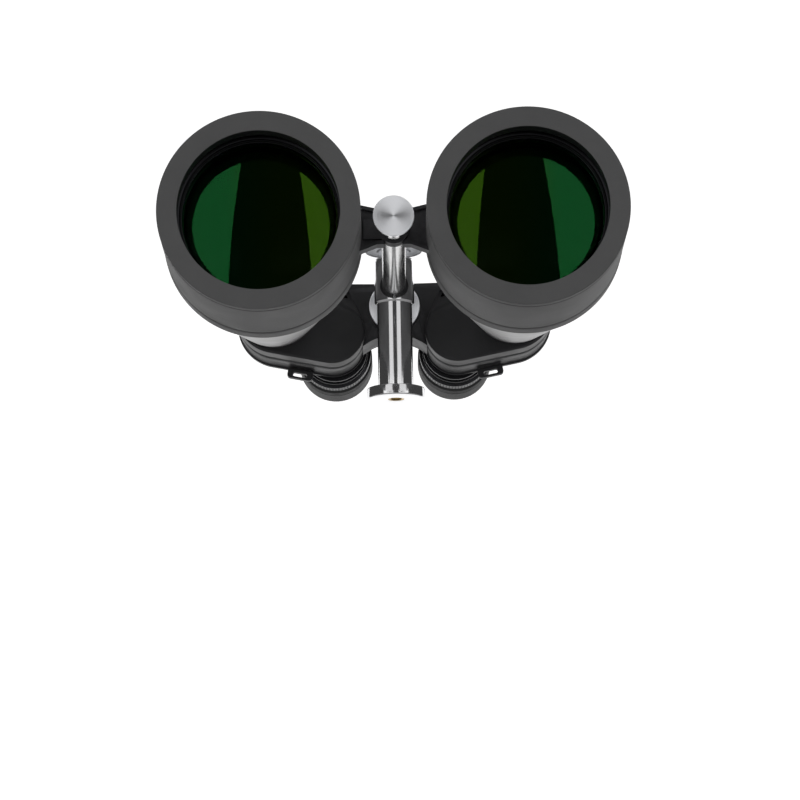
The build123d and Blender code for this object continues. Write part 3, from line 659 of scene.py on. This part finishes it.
# ------------------------------------------------------------------------ lens hoods
class BINO_OT_hoods(PieceOperator, Operator):
    """Rubber hoods with a flat face ring and moulded lines round them"""
    bl_idname = "binoculars.hoods"
    bl_label = "Lens hoods"

    def execute(self, context):
        sizes = context.scene.binocular_sizes
        for side, _ in SIDES:
            node = f"{side}_lens_hood"
            low, high = low_high(node)
            centre = middle(node)
            centre[1] = low[1]
            outside = half_width(node) / MM
            depth = (high[1] - low[1]) / MM
            mouth = mount_radius(f"{side}_hood_mouth")
            lip = mount(f"{side}_hood_mouth")["dims"]["length_mm"]
            tube = outside - 5.1
            points = [
                (mouth, 0, 0.35), (outside, 0, sizes.hood_edge), (outside, depth, 0.9),
                (tube, depth, 0.2), (tube, lip + 3.0), (mouth + 1, lip + 3.0),
                (mouth + 1, lip, 0.2), (mouth, lip, 0.2),
            ]

            def lines(angle, radius, along):
                """Grooves: a narrow dip at each line, and a band raised behind the last."""
                on_side = radius > outside - 0.2
                dips = sum(np.exp(-((along - at) / 0.45) ** 2) for at in (4.8, depth - 12.0))
                band = 0.25 / (1 + np.exp(-(along - depth + 10.5) / 0.4)) - 0.25
                return np.where(on_side, band - sizes.groove * dips, 0) + 0 * angle

            mesh = lathe(node + "_skin", points, centre, longest=0.8, ripple=lines, turns=160)
            new_object(node + "_skin", mesh, [finish("hood rubber"), finish("inner black")],
                       f"{side}_half", "rubber", node)
            paint_faces(mesh, 1, lambda c, r=mouth + 0.4, y=low[1] + 0.4 * MM, p=centre:
                        (off_axis(c, p) < r + 1) & (c[:, 1] > y))
        return {"FINISHED"}


class BINO_OT_tubes(PieceOperator, Operator):
    """Tapered objective tubes, satin outside and black inside"""
    bl_idname = "binoculars.tubes"
    bl_label = "Objective tubes"

    def execute(self, context):
        for side, _ in SIDES:
            node = f"{side}_objective_tube"
            low, high = low_high(node)
            centre = middle(node)
            centre[1] = low[1]
            hood_end = (low_high(f"{side}_lens_hood")[1][1] - low[1]) / MM
            front = (low_high(f"{side}_prism_housing")[0][1] - low[1]) / MM
            end = (high[1] - low[1]) / MM
            points = [
                (47.8, 0, 0.2), (47.8, hood_end), (52.0, hood_end, 0.5), (25.0, front, 0.3),
                (18.5, front), (18.5, end), (16.0, end), (16.0, front - 3),
                (22.6, front - 3), (49.2, hood_end + 2.5), (45.3, hood_end), (45.3, 0, 0.2),
            ]
            mesh = lathe(node + "_skin", points, centre, turns=160, longest=6.0)
            new_object(node + "_skin", mesh, [finish("tube paint"), finish("inner black")],
                       f"{side}_half", "grey_paint", node)

            def inside(c, p=centre, start=low[1]):
                """Faces nearer the axis than the middle of the wall."""
                share = np.clip(((c[:, 1] - start) / MM - hood_end) / (front - hood_end), 0, 1)
                wall = np.where(share > 0, 50.6 - 26.8 * share, 46.5)
                return off_axis(c, p) < wall

            paint_faces(mesh, 1, inside)
        return {"FINISHED"}


# Radii of the objective's two faces, in millimetres.
FRONT_CURVE = 230.0
BACK_CURVE = 250.0


class BINO_OT_optics(PieceOperator, Operator):
    """Objective lenses with their cells and threaded retainers"""
    bl_idname = "binoculars.optics"
    bl_label = "Objective lenses"

    def execute(self, context):
        for side, _ in SIDES:
            body = f"{side}_half"
            self.crown(side, body)
            self.cell(side, body)
            self.retainer(side, body)
            finish_nodes([f"{side}_flint_lens"], "bloomed glass")
        return {"FINISHED"}

    def crown(self, side, body):
        """Front lens: two spherical faces, each a fine run of rings, and a ground rim."""
        node = f"{side}_crown_lens"
        low, high = low_high(node)
        centre = middle(node)
        centre[1] = low[1]
        rim = half_width(node) / MM
        thick = (high[1] - low[1]) / MM
        radii = np.linspace(0, rim, 40)
        sag = FRONT_CURVE - np.sqrt(FRONT_CURVE ** 2 - radii ** 2)
        rise = BACK_CURVE - np.sqrt(BACK_CURVE ** 2 - radii ** 2)
        front = [(r, s, 0) for r, s in zip(radii, sag)]
        back = [(r, thick - s, 0) for r, s in zip(radii[::-1], rise[::-1])]
        mesh = lathe(node + "_glass", front + back, centre, turns=160)
        new_object(node + "_glass", mesh,
                   [finish("objective coating"), finish("bloomed glass")], body,
                   "coated_glass", node)
        rim_y = low[1] + (sag[-1] + 0.3) * MM
        paint_faces(mesh, 1, lambda c: c[:, 1] > rim_y)

    def cell(self, side, body):
        node = f"{side}_lens_cell"
        low, high = low_high(node)
        centre = middle(node)
        centre[1] = low[1]
        outside = half_width(node) / MM
        depth = (high[1] - low[1]) / MM
        bore = half_width(f"{side}_crown_lens") / MM + 0.05
        threads = [(bore + 0.5 * (k % 2), 0.4 + 0.35 * k, 0.06) for k in range(7)]
        points = [
            (outside, 0, 0.2), (outside, depth, 0.2), (bore - 1.8, depth, 0.1),
            (bore - 1.8, depth - 3, 0.1), (bore, depth - 3),
        ] + threads[::-1]
        mesh = lathe(node + "_turned", points, centre)
        new_object(node + "_turned", mesh, [finish("cell anodising")], body,
                   "black_aluminium", node)

    def retainer(self, side, body):
        node = f"{side}_lens_retainer"
        low, high = low_high(node)
        centre = middle(node)
        centre[1] = low[1]
        outside = half_width(node) / MM
        depth = (high[1] - low[1]) / MM
        points = [
            (outside, 0, 0.15), (outside, depth), (outside - 1.2, depth, 0.1),
            (outside - 1.2, depth * 0.55, 0.1), (outside - 0.8, depth * 0.5, 0.1),
            (outside - 0.8, 0.3, 0.15), (outside - 0.5, 0, 0.1),
        ]
        mesh = lathe(node + "_turned", points, centre)
        new_object(node + "_turned", mesh, [finish("cell anodising")], body,
                   "black_aluminium", node)


# -------------------------------------------------------------------- prism housings
def hull_outline(circles, count=320):
    """Evenly spaced points round the hull of circles given as (x, z, radius).

    At each angle the outline follows the circle that reaches furthest that way:
    point(angle) = centre + radius * (cos angle, sin angle).
    """
    circles = np.array(circles, float)
    angle = np.linspace(0, 2 * math.pi, 2880, endpoint=False)
    way = np.stack([np.cos(angle), np.sin(angle)], axis=1)
    reach = way @ circles[:, :2].T + circles[:, 2]
    pick = circles[reach.argmax(axis=1)]
    spots = pick[:, :2] + pick[:, 2:] * way
    steps = np.linalg.norm(np.roll(spots, -1, axis=0) - spots, axis=1)
    along = np.concatenate([[0], np.cumsum(steps)])
    ring = np.vstack([spots, spots[:1]])
    even = np.linspace(0, along[-1], count, endpoint=False)
    return np.stack([np.interp(even, along, ring[:, k]) for k in (0, 1)], axis=1)


class BINO_OT_housings(PieceOperator, Operator):
    """Prism housings: a rounded shell whose front slopes back towards the hinge"""
    bl_idname = "binoculars.housings"
    bl_label = "Prism housings"

    # Hull of the casting on the right, in millimetres from the rod: (x, z, radius).
    LENS_END = (67.7, -3.5, 25.0)
    EYE_END = (36.6, -15.8, 19.0)
    HINGE_END = (34.0, 7.0, 8.0)
    SEAT = 18.6
    SLOPE = (3.0, 16.0)
    # (inset from the outline, distance back from the front face, corner)
    WALL = [
        (0.0, 0.0, 2.4), (0.0, 12.0, 2.0), (1.0, 15.0, 2.0), (1.0, 17.0, 1.5),
        (0.3, 19.0, 2.0), (0.3, 25.0, 2.0), (1.2, 28.0, 2.0), (1.2, 36.0, 1.5),
        (0.6, 39.0, 0.3),
    ]

    def execute(self, context):
        for side, sign in SIDES:
            node = f"{side}_prism_housing"
            low, _ = low_high(node)
            outline = self.loops(low[1])
            outline[..., 0] *= sign
            mesh = grid_mesh(node + "_shell", outline)
            smooth(mesh, 40)
            new_object(node + "_shell", mesh, [finish("casting paint"), finish("inner black")],
                       f"{side}_half", "black_paint", node)
            self.arm(side, sign)
        return {"FINISHED"}

    def loops(self, front_y):
        """Grid of the shell: u round the hull, v from the tube's seat to the rear rim.

        Each loop is the hull drawn in by an inset.  The front face runs between the
        tube's circle and the hull, and every point is pushed back to the sloping plane
        where that lies behind it.
        """
        hull = self.inset(0)
        core = np.array([middle("right_objective_tube")[0] / MM, 0.0])
        ways = hull - core
        seat = core + ways / np.linalg.norm(ways, axis=1)[:, None] * self.SEAT
        loops = [(seat, 2.5), (seat, 0.0)]
        for share in (0.3, 0.6, 0.85):
            loops.append((seat + (self.inset(2.4) - seat) * share, 0.0))
        profile = rounded([(2.5, 0.0, 0)] + self.WALL + [(2.5, 39.0, 0)])
        for inset, back in divided(profile, 1.2):
            loops.append((self.inset(inset), back))
            if inset == 2.5 and back >= 39.0:
                break
        loops.append((self.inset(2.5), 2.5))
        grid = np.empty((len(hull), len(loops), 3))
        for v, (spots, back) in enumerate(loops):
            grid[:, v, 0] = spots[:, 0] * MM
            grid[:, v, 2] = spots[:, 1] * MM + ROD[2]
            grid[:, v, 1] = front_y + self.pushed_back(spots, back) * MM
        return grid

    def inset(self, amount):
        circles = [(x, z, r - amount) for x, z, r in
                   (self.LENS_END, self.EYE_END, self.HINGE_END)]
        return hull_outline(circles)

    def pushed_back(self, spots, back):
        """Smooth maximum of the distance back and the sloping plane's."""
        end, eye, hinge = (np.array(c) for c in (self.LENS_END, self.EYE_END, self.HINGE_END))
        across = eye[:2] - end[:2]
        lean = across / np.linalg.norm(across)
        share = (end[2] - eye[2]) / np.linalg.norm(across)
        swing = np.array([lean[1], -lean[0]]) * math.sqrt(1 - share ** 2)
        normal = lean * share + (swing if swing[1] > 0 else -swing)
        edge = end[:2] @ normal + end[2]
        reach = hinge[:2] @ normal + hinge[2] - edge
        start, finish_back = self.SLOPE
        out = spots @ normal - edge
        plane = start + (finish_back - start) / reach * out
        return back + 0.6 * np.logaddexp(0, (plane - back) / 0.6) * (plane - back > -6)

    def arm(self, side, sign):
        """Rear bridge arm: the cast housing with everything inside the hull cut away."""
        node = f"{side}_prism_housing"
        low, high = low_high(node)
        ring = self.inset(-0.03)
        ring[:, 0] *= sign
        grid = np.empty((len(ring), 4, 3))
        for v, (share, y) in enumerate(((0, low[1]), (1, low[1]), (1, high[1]), (0, high[1]))):
            hub = ring.mean(axis=0)
            spots = hub + (ring - hub) * share
            grid[:, v, 0] = spots[:, 0] * MM
            grid[:, v, 2] = spots[:, 1] * MM + ROD[2]
            grid[:, v, 1] = y + (0.005 if v > 1 else -0.005)
        cutter = grid_mesh("hull_cutter", grid)
        mesh = merged_copy(node)
        piece = new_object(f"{side}_rear_arm_cast", mesh, [finish("casting paint")],
                           f"{side}_half", "black_paint", node)
        cut(piece, cutter)
        smooth(piece.data, 30)
        bevelled(piece, 0.7)


class BINO_OT_castings(PieceOperator, Operator):
    """Bridge arms, rear covers and strap lugs with softened edges"""
    bl_idname = "binoculars.castings"
    bl_label = "Bridges, covers and lugs"

    def execute(self, context):
        edge = context.scene.binocular_sizes.edge
        coat = [finish("casting paint")]
        for side, _ in SIDES:
            body = f"{side}_half"
            for part, width in (("bridge_arm", edge), ("rear_cover", edge), ("strap_lug", 0.3)):
                node = f"{side}_{part}"
                softened(node + "_cast", node, width, body, "black_paint", coat)
            finish_nodes([f"{side}_cover_screws"], "fittings steel")
        return {"FINISHED"}


# ------------------------------------------------------------------------- eyepieces
class BINO_OT_eyepieces(PieceOperator, Operator):
    """Eyepiece barrels, knurled focus rings, eyecups and the lenses in them"""
    bl_idname = "binoculars.eyepieces"
    bl_label = "Eyepieces"

    def execute(self, context):
        sizes = context.scene.binocular_sizes
        for side, _ in SIDES:
            centre = middle(f"{side}_eyepiece_barrel")
            centre[1] = FACE_Y
            self.barrel(side, centre)
            self.focus_ring(side, centre, sizes.knurls)
            self.eyecup(side, centre)
            self.ocular(side, centre)
        return {"FINISHED"}

    def barrel(self, side, centre):
        points = [
            (14.5, 258), (15.5, 258), (15.5, 261), (17.5, 261), (17.5, 262), (19.0, 262, 0.3),
            (19.0, 264.4, 0.5), (17.5, 264.4, 0.1), (17.5, 272, 0.2), (14.5, 272, 0.2),
        ]
        mesh = lathe(f"{side}_barrel_turned", points, centre)
        new_object(f"{side}_barrel_turned", mesh, [finish("black anodising")],
                   f"{side}_half", "black_aluminium", f"{side}_eyepiece_barrel")

    def focus_ring(self, side, centre, knurls):
        """Straight knurl: a rounded rib wave round the ring's rim, none elsewhere."""
        points = [
            (17.56, 268, 0.1), (19.5, 268, 0.3), (19.5, 272.8, 0.2), (21.0, 273.2, 0.3),
            (21.0, 280.6, 0.4), (20.2, 281, 0.2), (17.4, 281), (17.4, 290, 0.3),
            (14.52, 290, 0.2), (14.52, 276), (17.56, 276),
        ]

        def ribs(angle, radius, along):
            on_rim = (radius > 20.6) & (along > 273.8) & (along < 280.2)
            wave = np.abs(np.sin(angle * knurls / 2)) ** 0.7 - 1
            return np.where(on_rim, 0.55 * wave, 0)

        mesh = lathe(f"{side}_focus_ring_knurled", points, centre, turns=knurls * 10,
                     longest=1.5, ripple=ribs)
        new_object(f"{side}_focus_ring_knurled", mesh, [finish("black anodising")],
                   f"{side}_focus", "black_aluminium", f"{side}_focus_ring")

    def eyecup(self, side, centre):
        points = [
            (17.42, 281), (20.2, 281, 0.4), (20.2, 282.8, 0.5), (21.9, 283.6, 0.6),
            (21.9, 309.0, 0.8), (20.8, 310, 0.8), (19.6, 309.6, 0.6), (19.3, 308, 1.5),
            (17.9, 293.0, 1.5), (17.42, 291, 0.5),
        ]

        def rings(angle, radius, along):
            """Three shallow moulded rings round the cup's front half."""
            on_side = (radius > 21.8) & (along > 284) & (along < 296)
            dips = sum(np.exp(-((along - at) / 0.4) ** 2) for at in (286.5, 288.5, 290.5))
            return np.where(on_side, -0.35 * dips, 0) + 0 * angle

        mesh = lathe(f"{side}_eyecup_moulded", points, centre, longest=0.8, ripple=rings,
                     turns=144)
        new_object(f"{side}_eyecup_moulded", mesh, [finish("eyecup rubber")],
                   f"{side}_focus", "rubber", f"{side}_eyecup")

    def ocular(self, side, centre):
        outside, wall = 14.45, 2.0
        points = [
            (outside - wall, 250), (outside, 250, 0.2), (outside, 300, 0.4),
            (outside - wall, 300, 0.6),
        ]
        mesh = lathe(f"{side}_ocular_tube_turned", points, centre)
        new_object(f"{side}_ocular_tube_turned", mesh, [finish("black anodising")],
                   f"{side}_ocular", "black_aluminium", f"{side}_ocular_tube")
        self.lens(side, centre, "field_lens", 256.0, 6.0)
        self.lens(side, centre, "eye_lens", 290.0, 7.0)
        finish_nodes([f"{side}_field_stop"], "inner black")

    def lens(self, side, centre, part, front, thick):
        """Both faces are spheres of one radius, joined by a ground rim."""
        node = f"{side}_{part}"
        curve = 60.0
        radii = np.linspace(0, half_width(node) / MM, 20)
        sag = curve - np.sqrt(curve ** 2 - radii ** 2)
        near = [(r, front + s, 0) for r, s in zip(radii, sag)]
        far = [(r, front + thick - s, 0) for r, s in zip(radii[::-1], sag[::-1])]
        mesh = lathe(node + "_glass", near + far, centre, turns=96)
        new_object(node + "_glass", mesh, [finish("coated lens")], f"{side}_ocular",
                   "coated_glass", node)


# ----------------------------------------------------------------- rod, caps and post
class BINO_OT_rod(PieceOperator, Operator):
    """Central rod with its turned front cap, rear disc and plastic rear cap"""
    bl_idname = "binoculars.rod"
    bl_label = "Rod and its caps"

    def execute(self, context):
        centre = ROD.copy()
        centre[1] = FACE_Y
        pieces = {
            "central_rod": ("ground steel", "steel", [
                (0, 18.92), (6.5, 18.92, 0.2), (6.5, 258.4, 0.3), (0, 258.4)]),
            "front_cap": ("turned aluminium", "turned_aluminium", [
                (0, 17.5), (10.9, 17.5, 0.3), (10.9, 18.9, 0.3), (0, 18.9)]),
            "rear_disc": ("turned aluminium", "turned_aluminium", [
                (6.55, 227.0), (14.9, 227.0, 0.5), (14.9, 231.2, 0.3), (6.55, 231.2)]),
            "rear_cap": ("cap plastic", "black_plastic", [
                (0, 258.6), (6.55, 258.6), (6.55, 256.5), (8.2, 256.5, 0.3),
                (8.2, 261.5, 1.8), (0, 261.5)]),
        }
        for node, (coat, slot, points) in pieces.items():
            mesh = lathe(node + "_turned", points, centre)
            new_object(node + "_turned", mesh, [finish(coat)], "rod", slot, node)
        finish_nodes(["hinge_washers"], "brass")
        return {"FINISHED"}


class BINO_OT_post(PieceOperator, Operator):
    """Polished post with its head, foot, bush, clamp pad, screw and knob"""
    bl_idname = "binoculars.post"
    bl_label = "Tripod post"

    def execute(self, context):
        sizes = context.scene.binocular_sizes
        centre = np.array([0.0, 0.0, 0.0])
        self.body(centre)
        foot = [
            (4.6, 0, 0.2), (16.4, 0, 0.8), (16.4, 6.0, 0.8), (6.0, 6.0), (6.0, 17.5),
            (4.6, 17.5),
        ]
        mesh = lathe("post_foot_turned", foot, centre, axis="Z")
        new_object("post_foot_turned", mesh, [finish("polished aluminium")], "post",
                   "polished_aluminium", "post_foot")
        self.insert(centre)
        self.knob(centre, sizes.flutes)
        finish_nodes(["rod_bush", "clamp_pad"], "nylon")
        finish_nodes(["clamp_screw"], "fittings steel")
        return {"FINISHED"}

    def body(self, centre):
        """Turned post, with the rod's cross bore and the clamp's bore cut through it."""
        rod_z = ROD[2] / MM
        top = low_high("post_body")[1][2] / MM
        points = [
            (0, 18.6), (6.02, 18.6), (6.02, 6.0), (9.9, 6.0, 0.3), (9.9, rod_z - 9.2, 0.2),
            (10.3, rod_z - 9.2, 0.2), (11.3, rod_z - 8.3, 0.3), (11.3, top, 2.6), (0, top),
        ]
        mesh = lathe("post_turned", points, centre, axis="Z", turns=256)
        bores = [
            lathe("rod_bore", [(0, -20), (8.05, -20), (8.05, 20), (0, 20)], (0, 0, ROD[2])),
            lathe("screw_bore", [(0, rod_z), (5.55, rod_z), (5.55, rod_z + 12.0),
                                 (4.05, rod_z + 12.0), (4.05, top + 2), (0, top + 2)],
                  centre, axis="Z"),
        ]
        piece = new_object("post_turned", mesh, [finish("polished aluminium")], "post",
                           "polished_aluminium", "post_body")
        for bore in bores:
            cut(piece, bore)
        smooth(piece.data, 30)

    def insert(self, centre):
        """Brass bush with a visible thread: the bore's wall rises and falls by a pitch."""
        inner = mount_radius("tripod_socket")
        pitch = 1.27
        turns = [(inner + 0.45 * (k % 2), 0.3 + k * pitch / 2, 0.05) for k in range(15)]
        points = [(inner + 1.3, 0.0, 0.1), (inner + 1.3, 10.0), (inner, 10.0)] + turns[::-1]
        mesh = lathe("tripod_insert_threaded", points, centre, axis="Z", turns=96)
        new_object("tripod_insert_threaded", mesh, [finish("brass")], "post", "brass",
                   "tripod_insert")

    def knob(self, centre, flutes):
        """Clamp knob with rounded grip flutes: |sin| waves cut into its rim."""
        low, high = low_high("clamp_knob")
        base, top = low[2] / MM, high[2] / MM
        points = [
            (4.02, base), (9.0, base, 0.3), (9.6, base + 0.6, 0.3), (14.2, base + 0.6, 0.3),
            (14.8, base, 0.2), (16.15, base, 0.9), (16.15, top, 1.6), (12.5, top, 0.4),
            (11.5, top - 0.7, 0.6), (0, top - 0.7), (0, base + 8.02), (4.02, base + 8.02),
        ]

        def grip(angle, radius, along):
            on_rim = np.clip((radius - 15.2) / 0.9, 0, 1)
            middle_part = np.clip(np.minimum(along - base - 1.2, top - 1.2 - along), 0, 1)
            wave = np.clip(np.cos(angle * flutes), 0.2, 1) - 0.2
            return -1.3 * wave * on_rim * middle_part

        mesh = lathe("clamp_knob_fluted", points, centre, axis="Z", turns=flutes * 14,
                     longest=0.9, ripple=grip)
        new_object("clamp_knob_fluted", mesh, [finish("turned aluminium")], "clamp_knob",
                   "turned_aluminium", "clamp_knob")


class BINO_OT_inside(PieceOperator, Operator):
    """Prisms, shelves and clips, which the housings hide"""
    bl_idname = "binoculars.inside"
    bl_label = "Inner pieces"

    def execute(self, context):
        for side, _ in SIDES:
            finish_nodes([f"{side}_front_prism", f"{side}_rear_prism"], "prism glass")
            finish_nodes([f"{side}_prism_shelf"], "inner black")
            finish_nodes([f"{side}_prism_clips"], "fittings steel")
        return {"FINISHED"}


# ----------------------------------------------------------------------------- stage
# How strongly the pale surfaces light the object, and how they look to the camera.
FLOOR_GLOW = 0.06
BACKDROP_GLOW = 1.0
SKY_GLOW = 0.06
FLOOR_REACH = 7.0
# Distance, turn to the side and lift of the two large softboxes, and their size.
SOFTBOX_DISTANCE = 6.0
SOFTBOX_TURN = math.radians(30.5)
SOFTBOX_LIFT = math.radians(14)
SOFTBOX_SIZE = (4.45, 7.0)
# Small strips under the tubes, which light the stem that the hoods shade.
STRIP_PLACE = (0.018, -0.04, 0.034)
STRIP_SIZE = (0.02, 0.06)
# Camera's place from the middle of the hood faces, and its turn to the side.
CAMERA_OFFSET = (-0.0034, -1.6478, -0.4338)
CAMERA_YAW = 0.003


def soft_light(name, place, target, width, height, radiance):
    """Area light that faces its target and has a given radiance over its face."""
    data = bpy.data.lights.new(name, "AREA")
    data.shape = "RECTANGLE"
    data.size = width
    data.size_y = height
    data.energy = radiance * math.pi * width * height
    lamp = bpy.data.objects.new(name, data)
    lamp.location = place
    lamp.rotation_euler = (Vector(target) - Vector(place)).to_track_quat("-Z", "Y").to_euler()
    lamp.visible_camera = False
    bpy.context.scene.collection.objects.link(lamp)
    return lamp


def glowing(name, colour_value, strength):
    """Pale stage surface: bright to the camera, dimmer as a light on the object."""
    material, tree, shader = blank_material(name)
    path = tree.nodes.new("ShaderNodeLightPath")
    amount = tree.nodes.new("ShaderNodeMapRange")
    amount.inputs["To Min"].default_value = strength
    amount.inputs["To Max"].default_value = 0.85
    tree.links.new(path.outputs["Is Camera Ray"], amount.inputs["Value"])
    tree.links.new(amount.outputs["Result"], shader.inputs["Emission Strength"])
    shader.inputs["Emission Color"].default_value = (*colour_value, 1)
    shader.inputs["Base Color"].default_value = (0.6, 0.6, 0.6, 1)
    shader.inputs["Roughness"].default_value = 0.9
    return material


def stage_plane(name, corners, material):
    mesh = bpy.data.meshes.new(name)
    mesh.from_pydata(corners, [], [(0, 1, 2, 3)])
    mesh.materials.append(material)
    plane = bpy.data.objects.new(name, mesh)
    bpy.context.scene.collection.objects.link(plane)
    return plane


class BINO_OT_stage(Operator):
    """Pale floor, bright backdrop, soft studio lights and the camera"""
    bl_idname = "binoculars.stage"
    bl_label = "Stage, lights and camera"

    def execute(self, context):
        scene = context.scene
        stage = scene.binocular_stage
        self.surroundings(scene, stage)
        self.lights(stage)
        self.camera(scene, stage)
        scene.view_settings.view_transform = "Standard"
        return {"FINISHED"}

    def surroundings(self, scene, stage):
        z, reach = stage.floor_z, FLOOR_REACH
        stage_plane("floor", [(-reach, -reach, z), (reach, -reach, z), (reach, reach, z),
                              (-reach, reach, z)], glowing("Pale floor", (1, 1, 1), FLOOR_GLOW))
        y, half, low, high = 2.4, 2.6, -1.2, 2.4
        stage_plane("backdrop", [(-half, y, low), (half, y, low), (half, y, high),
                                 (-half, y, high)],
                    glowing("Bright backdrop", (1, 1, 1), BACKDROP_GLOW))
        world = bpy.data.worlds.new("Studio")
        scene.world = world
        world.use_nodes = True
        tree = world.node_tree
        sky = tree.nodes["Background"]
        path = tree.nodes.new("ShaderNodeLightPath")
        amount = tree.nodes.new("ShaderNodeMapRange")
        amount.inputs["To Min"].default_value = SKY_GLOW
        amount.inputs["To Max"].default_value = 1.0
        sky.inputs["Color"].default_value = (1, 1, 1, 1)
        tree.links.new(path.outputs["Is Camera Ray"], amount.inputs["Value"])
        tree.links.new(amount.outputs["Result"], sky.inputs["Strength"])

    def lights(self, stage):
        aim = Vector((0, -0.05, 0.06))
        for name, sign in (("left", -1), ("right", 1)):
            way = Vector((sign * math.sin(SOFTBOX_TURN), -math.cos(SOFTBOX_TURN),
                          math.tan(SOFTBOX_LIFT)))
            soft_light(name + " softbox", aim + way * SOFTBOX_DISTANCE, aim, *SOFTBOX_SIZE,
                       stage.key)
            strip = Vector((sign * STRIP_PLACE[0], *STRIP_PLACE[1:]))
            soft_light(name + " post strip", strip, strip + Vector((0, 1, 0)), *STRIP_SIZE,
                       stage.post)
        soft_light("top softbox", (0, 0.1, 1.8), aim, 1.6, 1.6, 0.35)
        soft_light("rear softbox", (0.9, 1.9, 1.1), aim, 1.0, 1.0, 0.5)

    def camera(self, scene, stage):
        data = bpy.data.cameras.new("camera")
        data.lens = stage.lens
        data.sensor_width = 36.0
        data.clip_end = 50.0
        camera = bpy.data.objects.new("camera", data)
        front = Vector((0, FACE_Y, ROD[2]))
        camera.location = front + Vector(CAMERA_OFFSET)
        look = Vector((CAMERA_YAW, math.cos(stage.tilt), math.sin(stage.tilt))).normalized()
        turn = look.to_track_quat("-Z", "Y")
        camera.rotation_mode = "QUATERNION"
        camera.rotation_quaternion = Quaternion(look, stage.roll) @ turn
        scene.collection.objects.link(camera)
        scene.camera = camera


# --------------------------------------------------------------------------- sidebar
class BINO_PT_panel(Panel):
    bl_label = "Binoculars"
    bl_idname = "BINO_PT_panel"
    bl_space_type = "VIEW_3D"
    bl_region_type = "UI"
    bl_category = "Binoculars"

    def draw(self, context):
        for operator in OPERATORS:
            self.layout.operator(operator.bl_idname)


OPERATORS = (
    BINO_OT_hoods, BINO_OT_tubes, BINO_OT_optics, BINO_OT_housings, BINO_OT_castings,
    BINO_OT_eyepieces, BINO_OT_rod, BINO_OT_post, BINO_OT_inside, BINO_OT_stage,
)
SETTINGS = {
    "binocular_colours": BINO_PG_colours,
    "binocular_sizes": BINO_PG_sizes,
    "binocular_stage": BINO_PG_stage,
}


def register():
    for group in SETTINGS.values():
        bpy.utils.register_class(group)
    for name, group in SETTINGS.items():
        setattr(bpy.types.Scene, name, PointerProperty(type=group))
    for operator in OPERATORS:
        bpy.utils.register_class(operator)
    bpy.utils.register_class(BINO_PT_panel)


def unregister():
    bpy.utils.unregister_class(BINO_PT_panel)
    for operator in reversed(OPERATORS):
        bpy.utils.unregister_class(operator)
    for name, group in SETTINGS.items():
        delattr(bpy.types.Scene, name)
        bpy.utils.unregister_class(group)


def main():
    register()
    for operator in OPERATORS:
        getattr(bpy.ops.binoculars, operator.bl_idname.split(".")[1])()


if __name__ == "__main__":
    main()
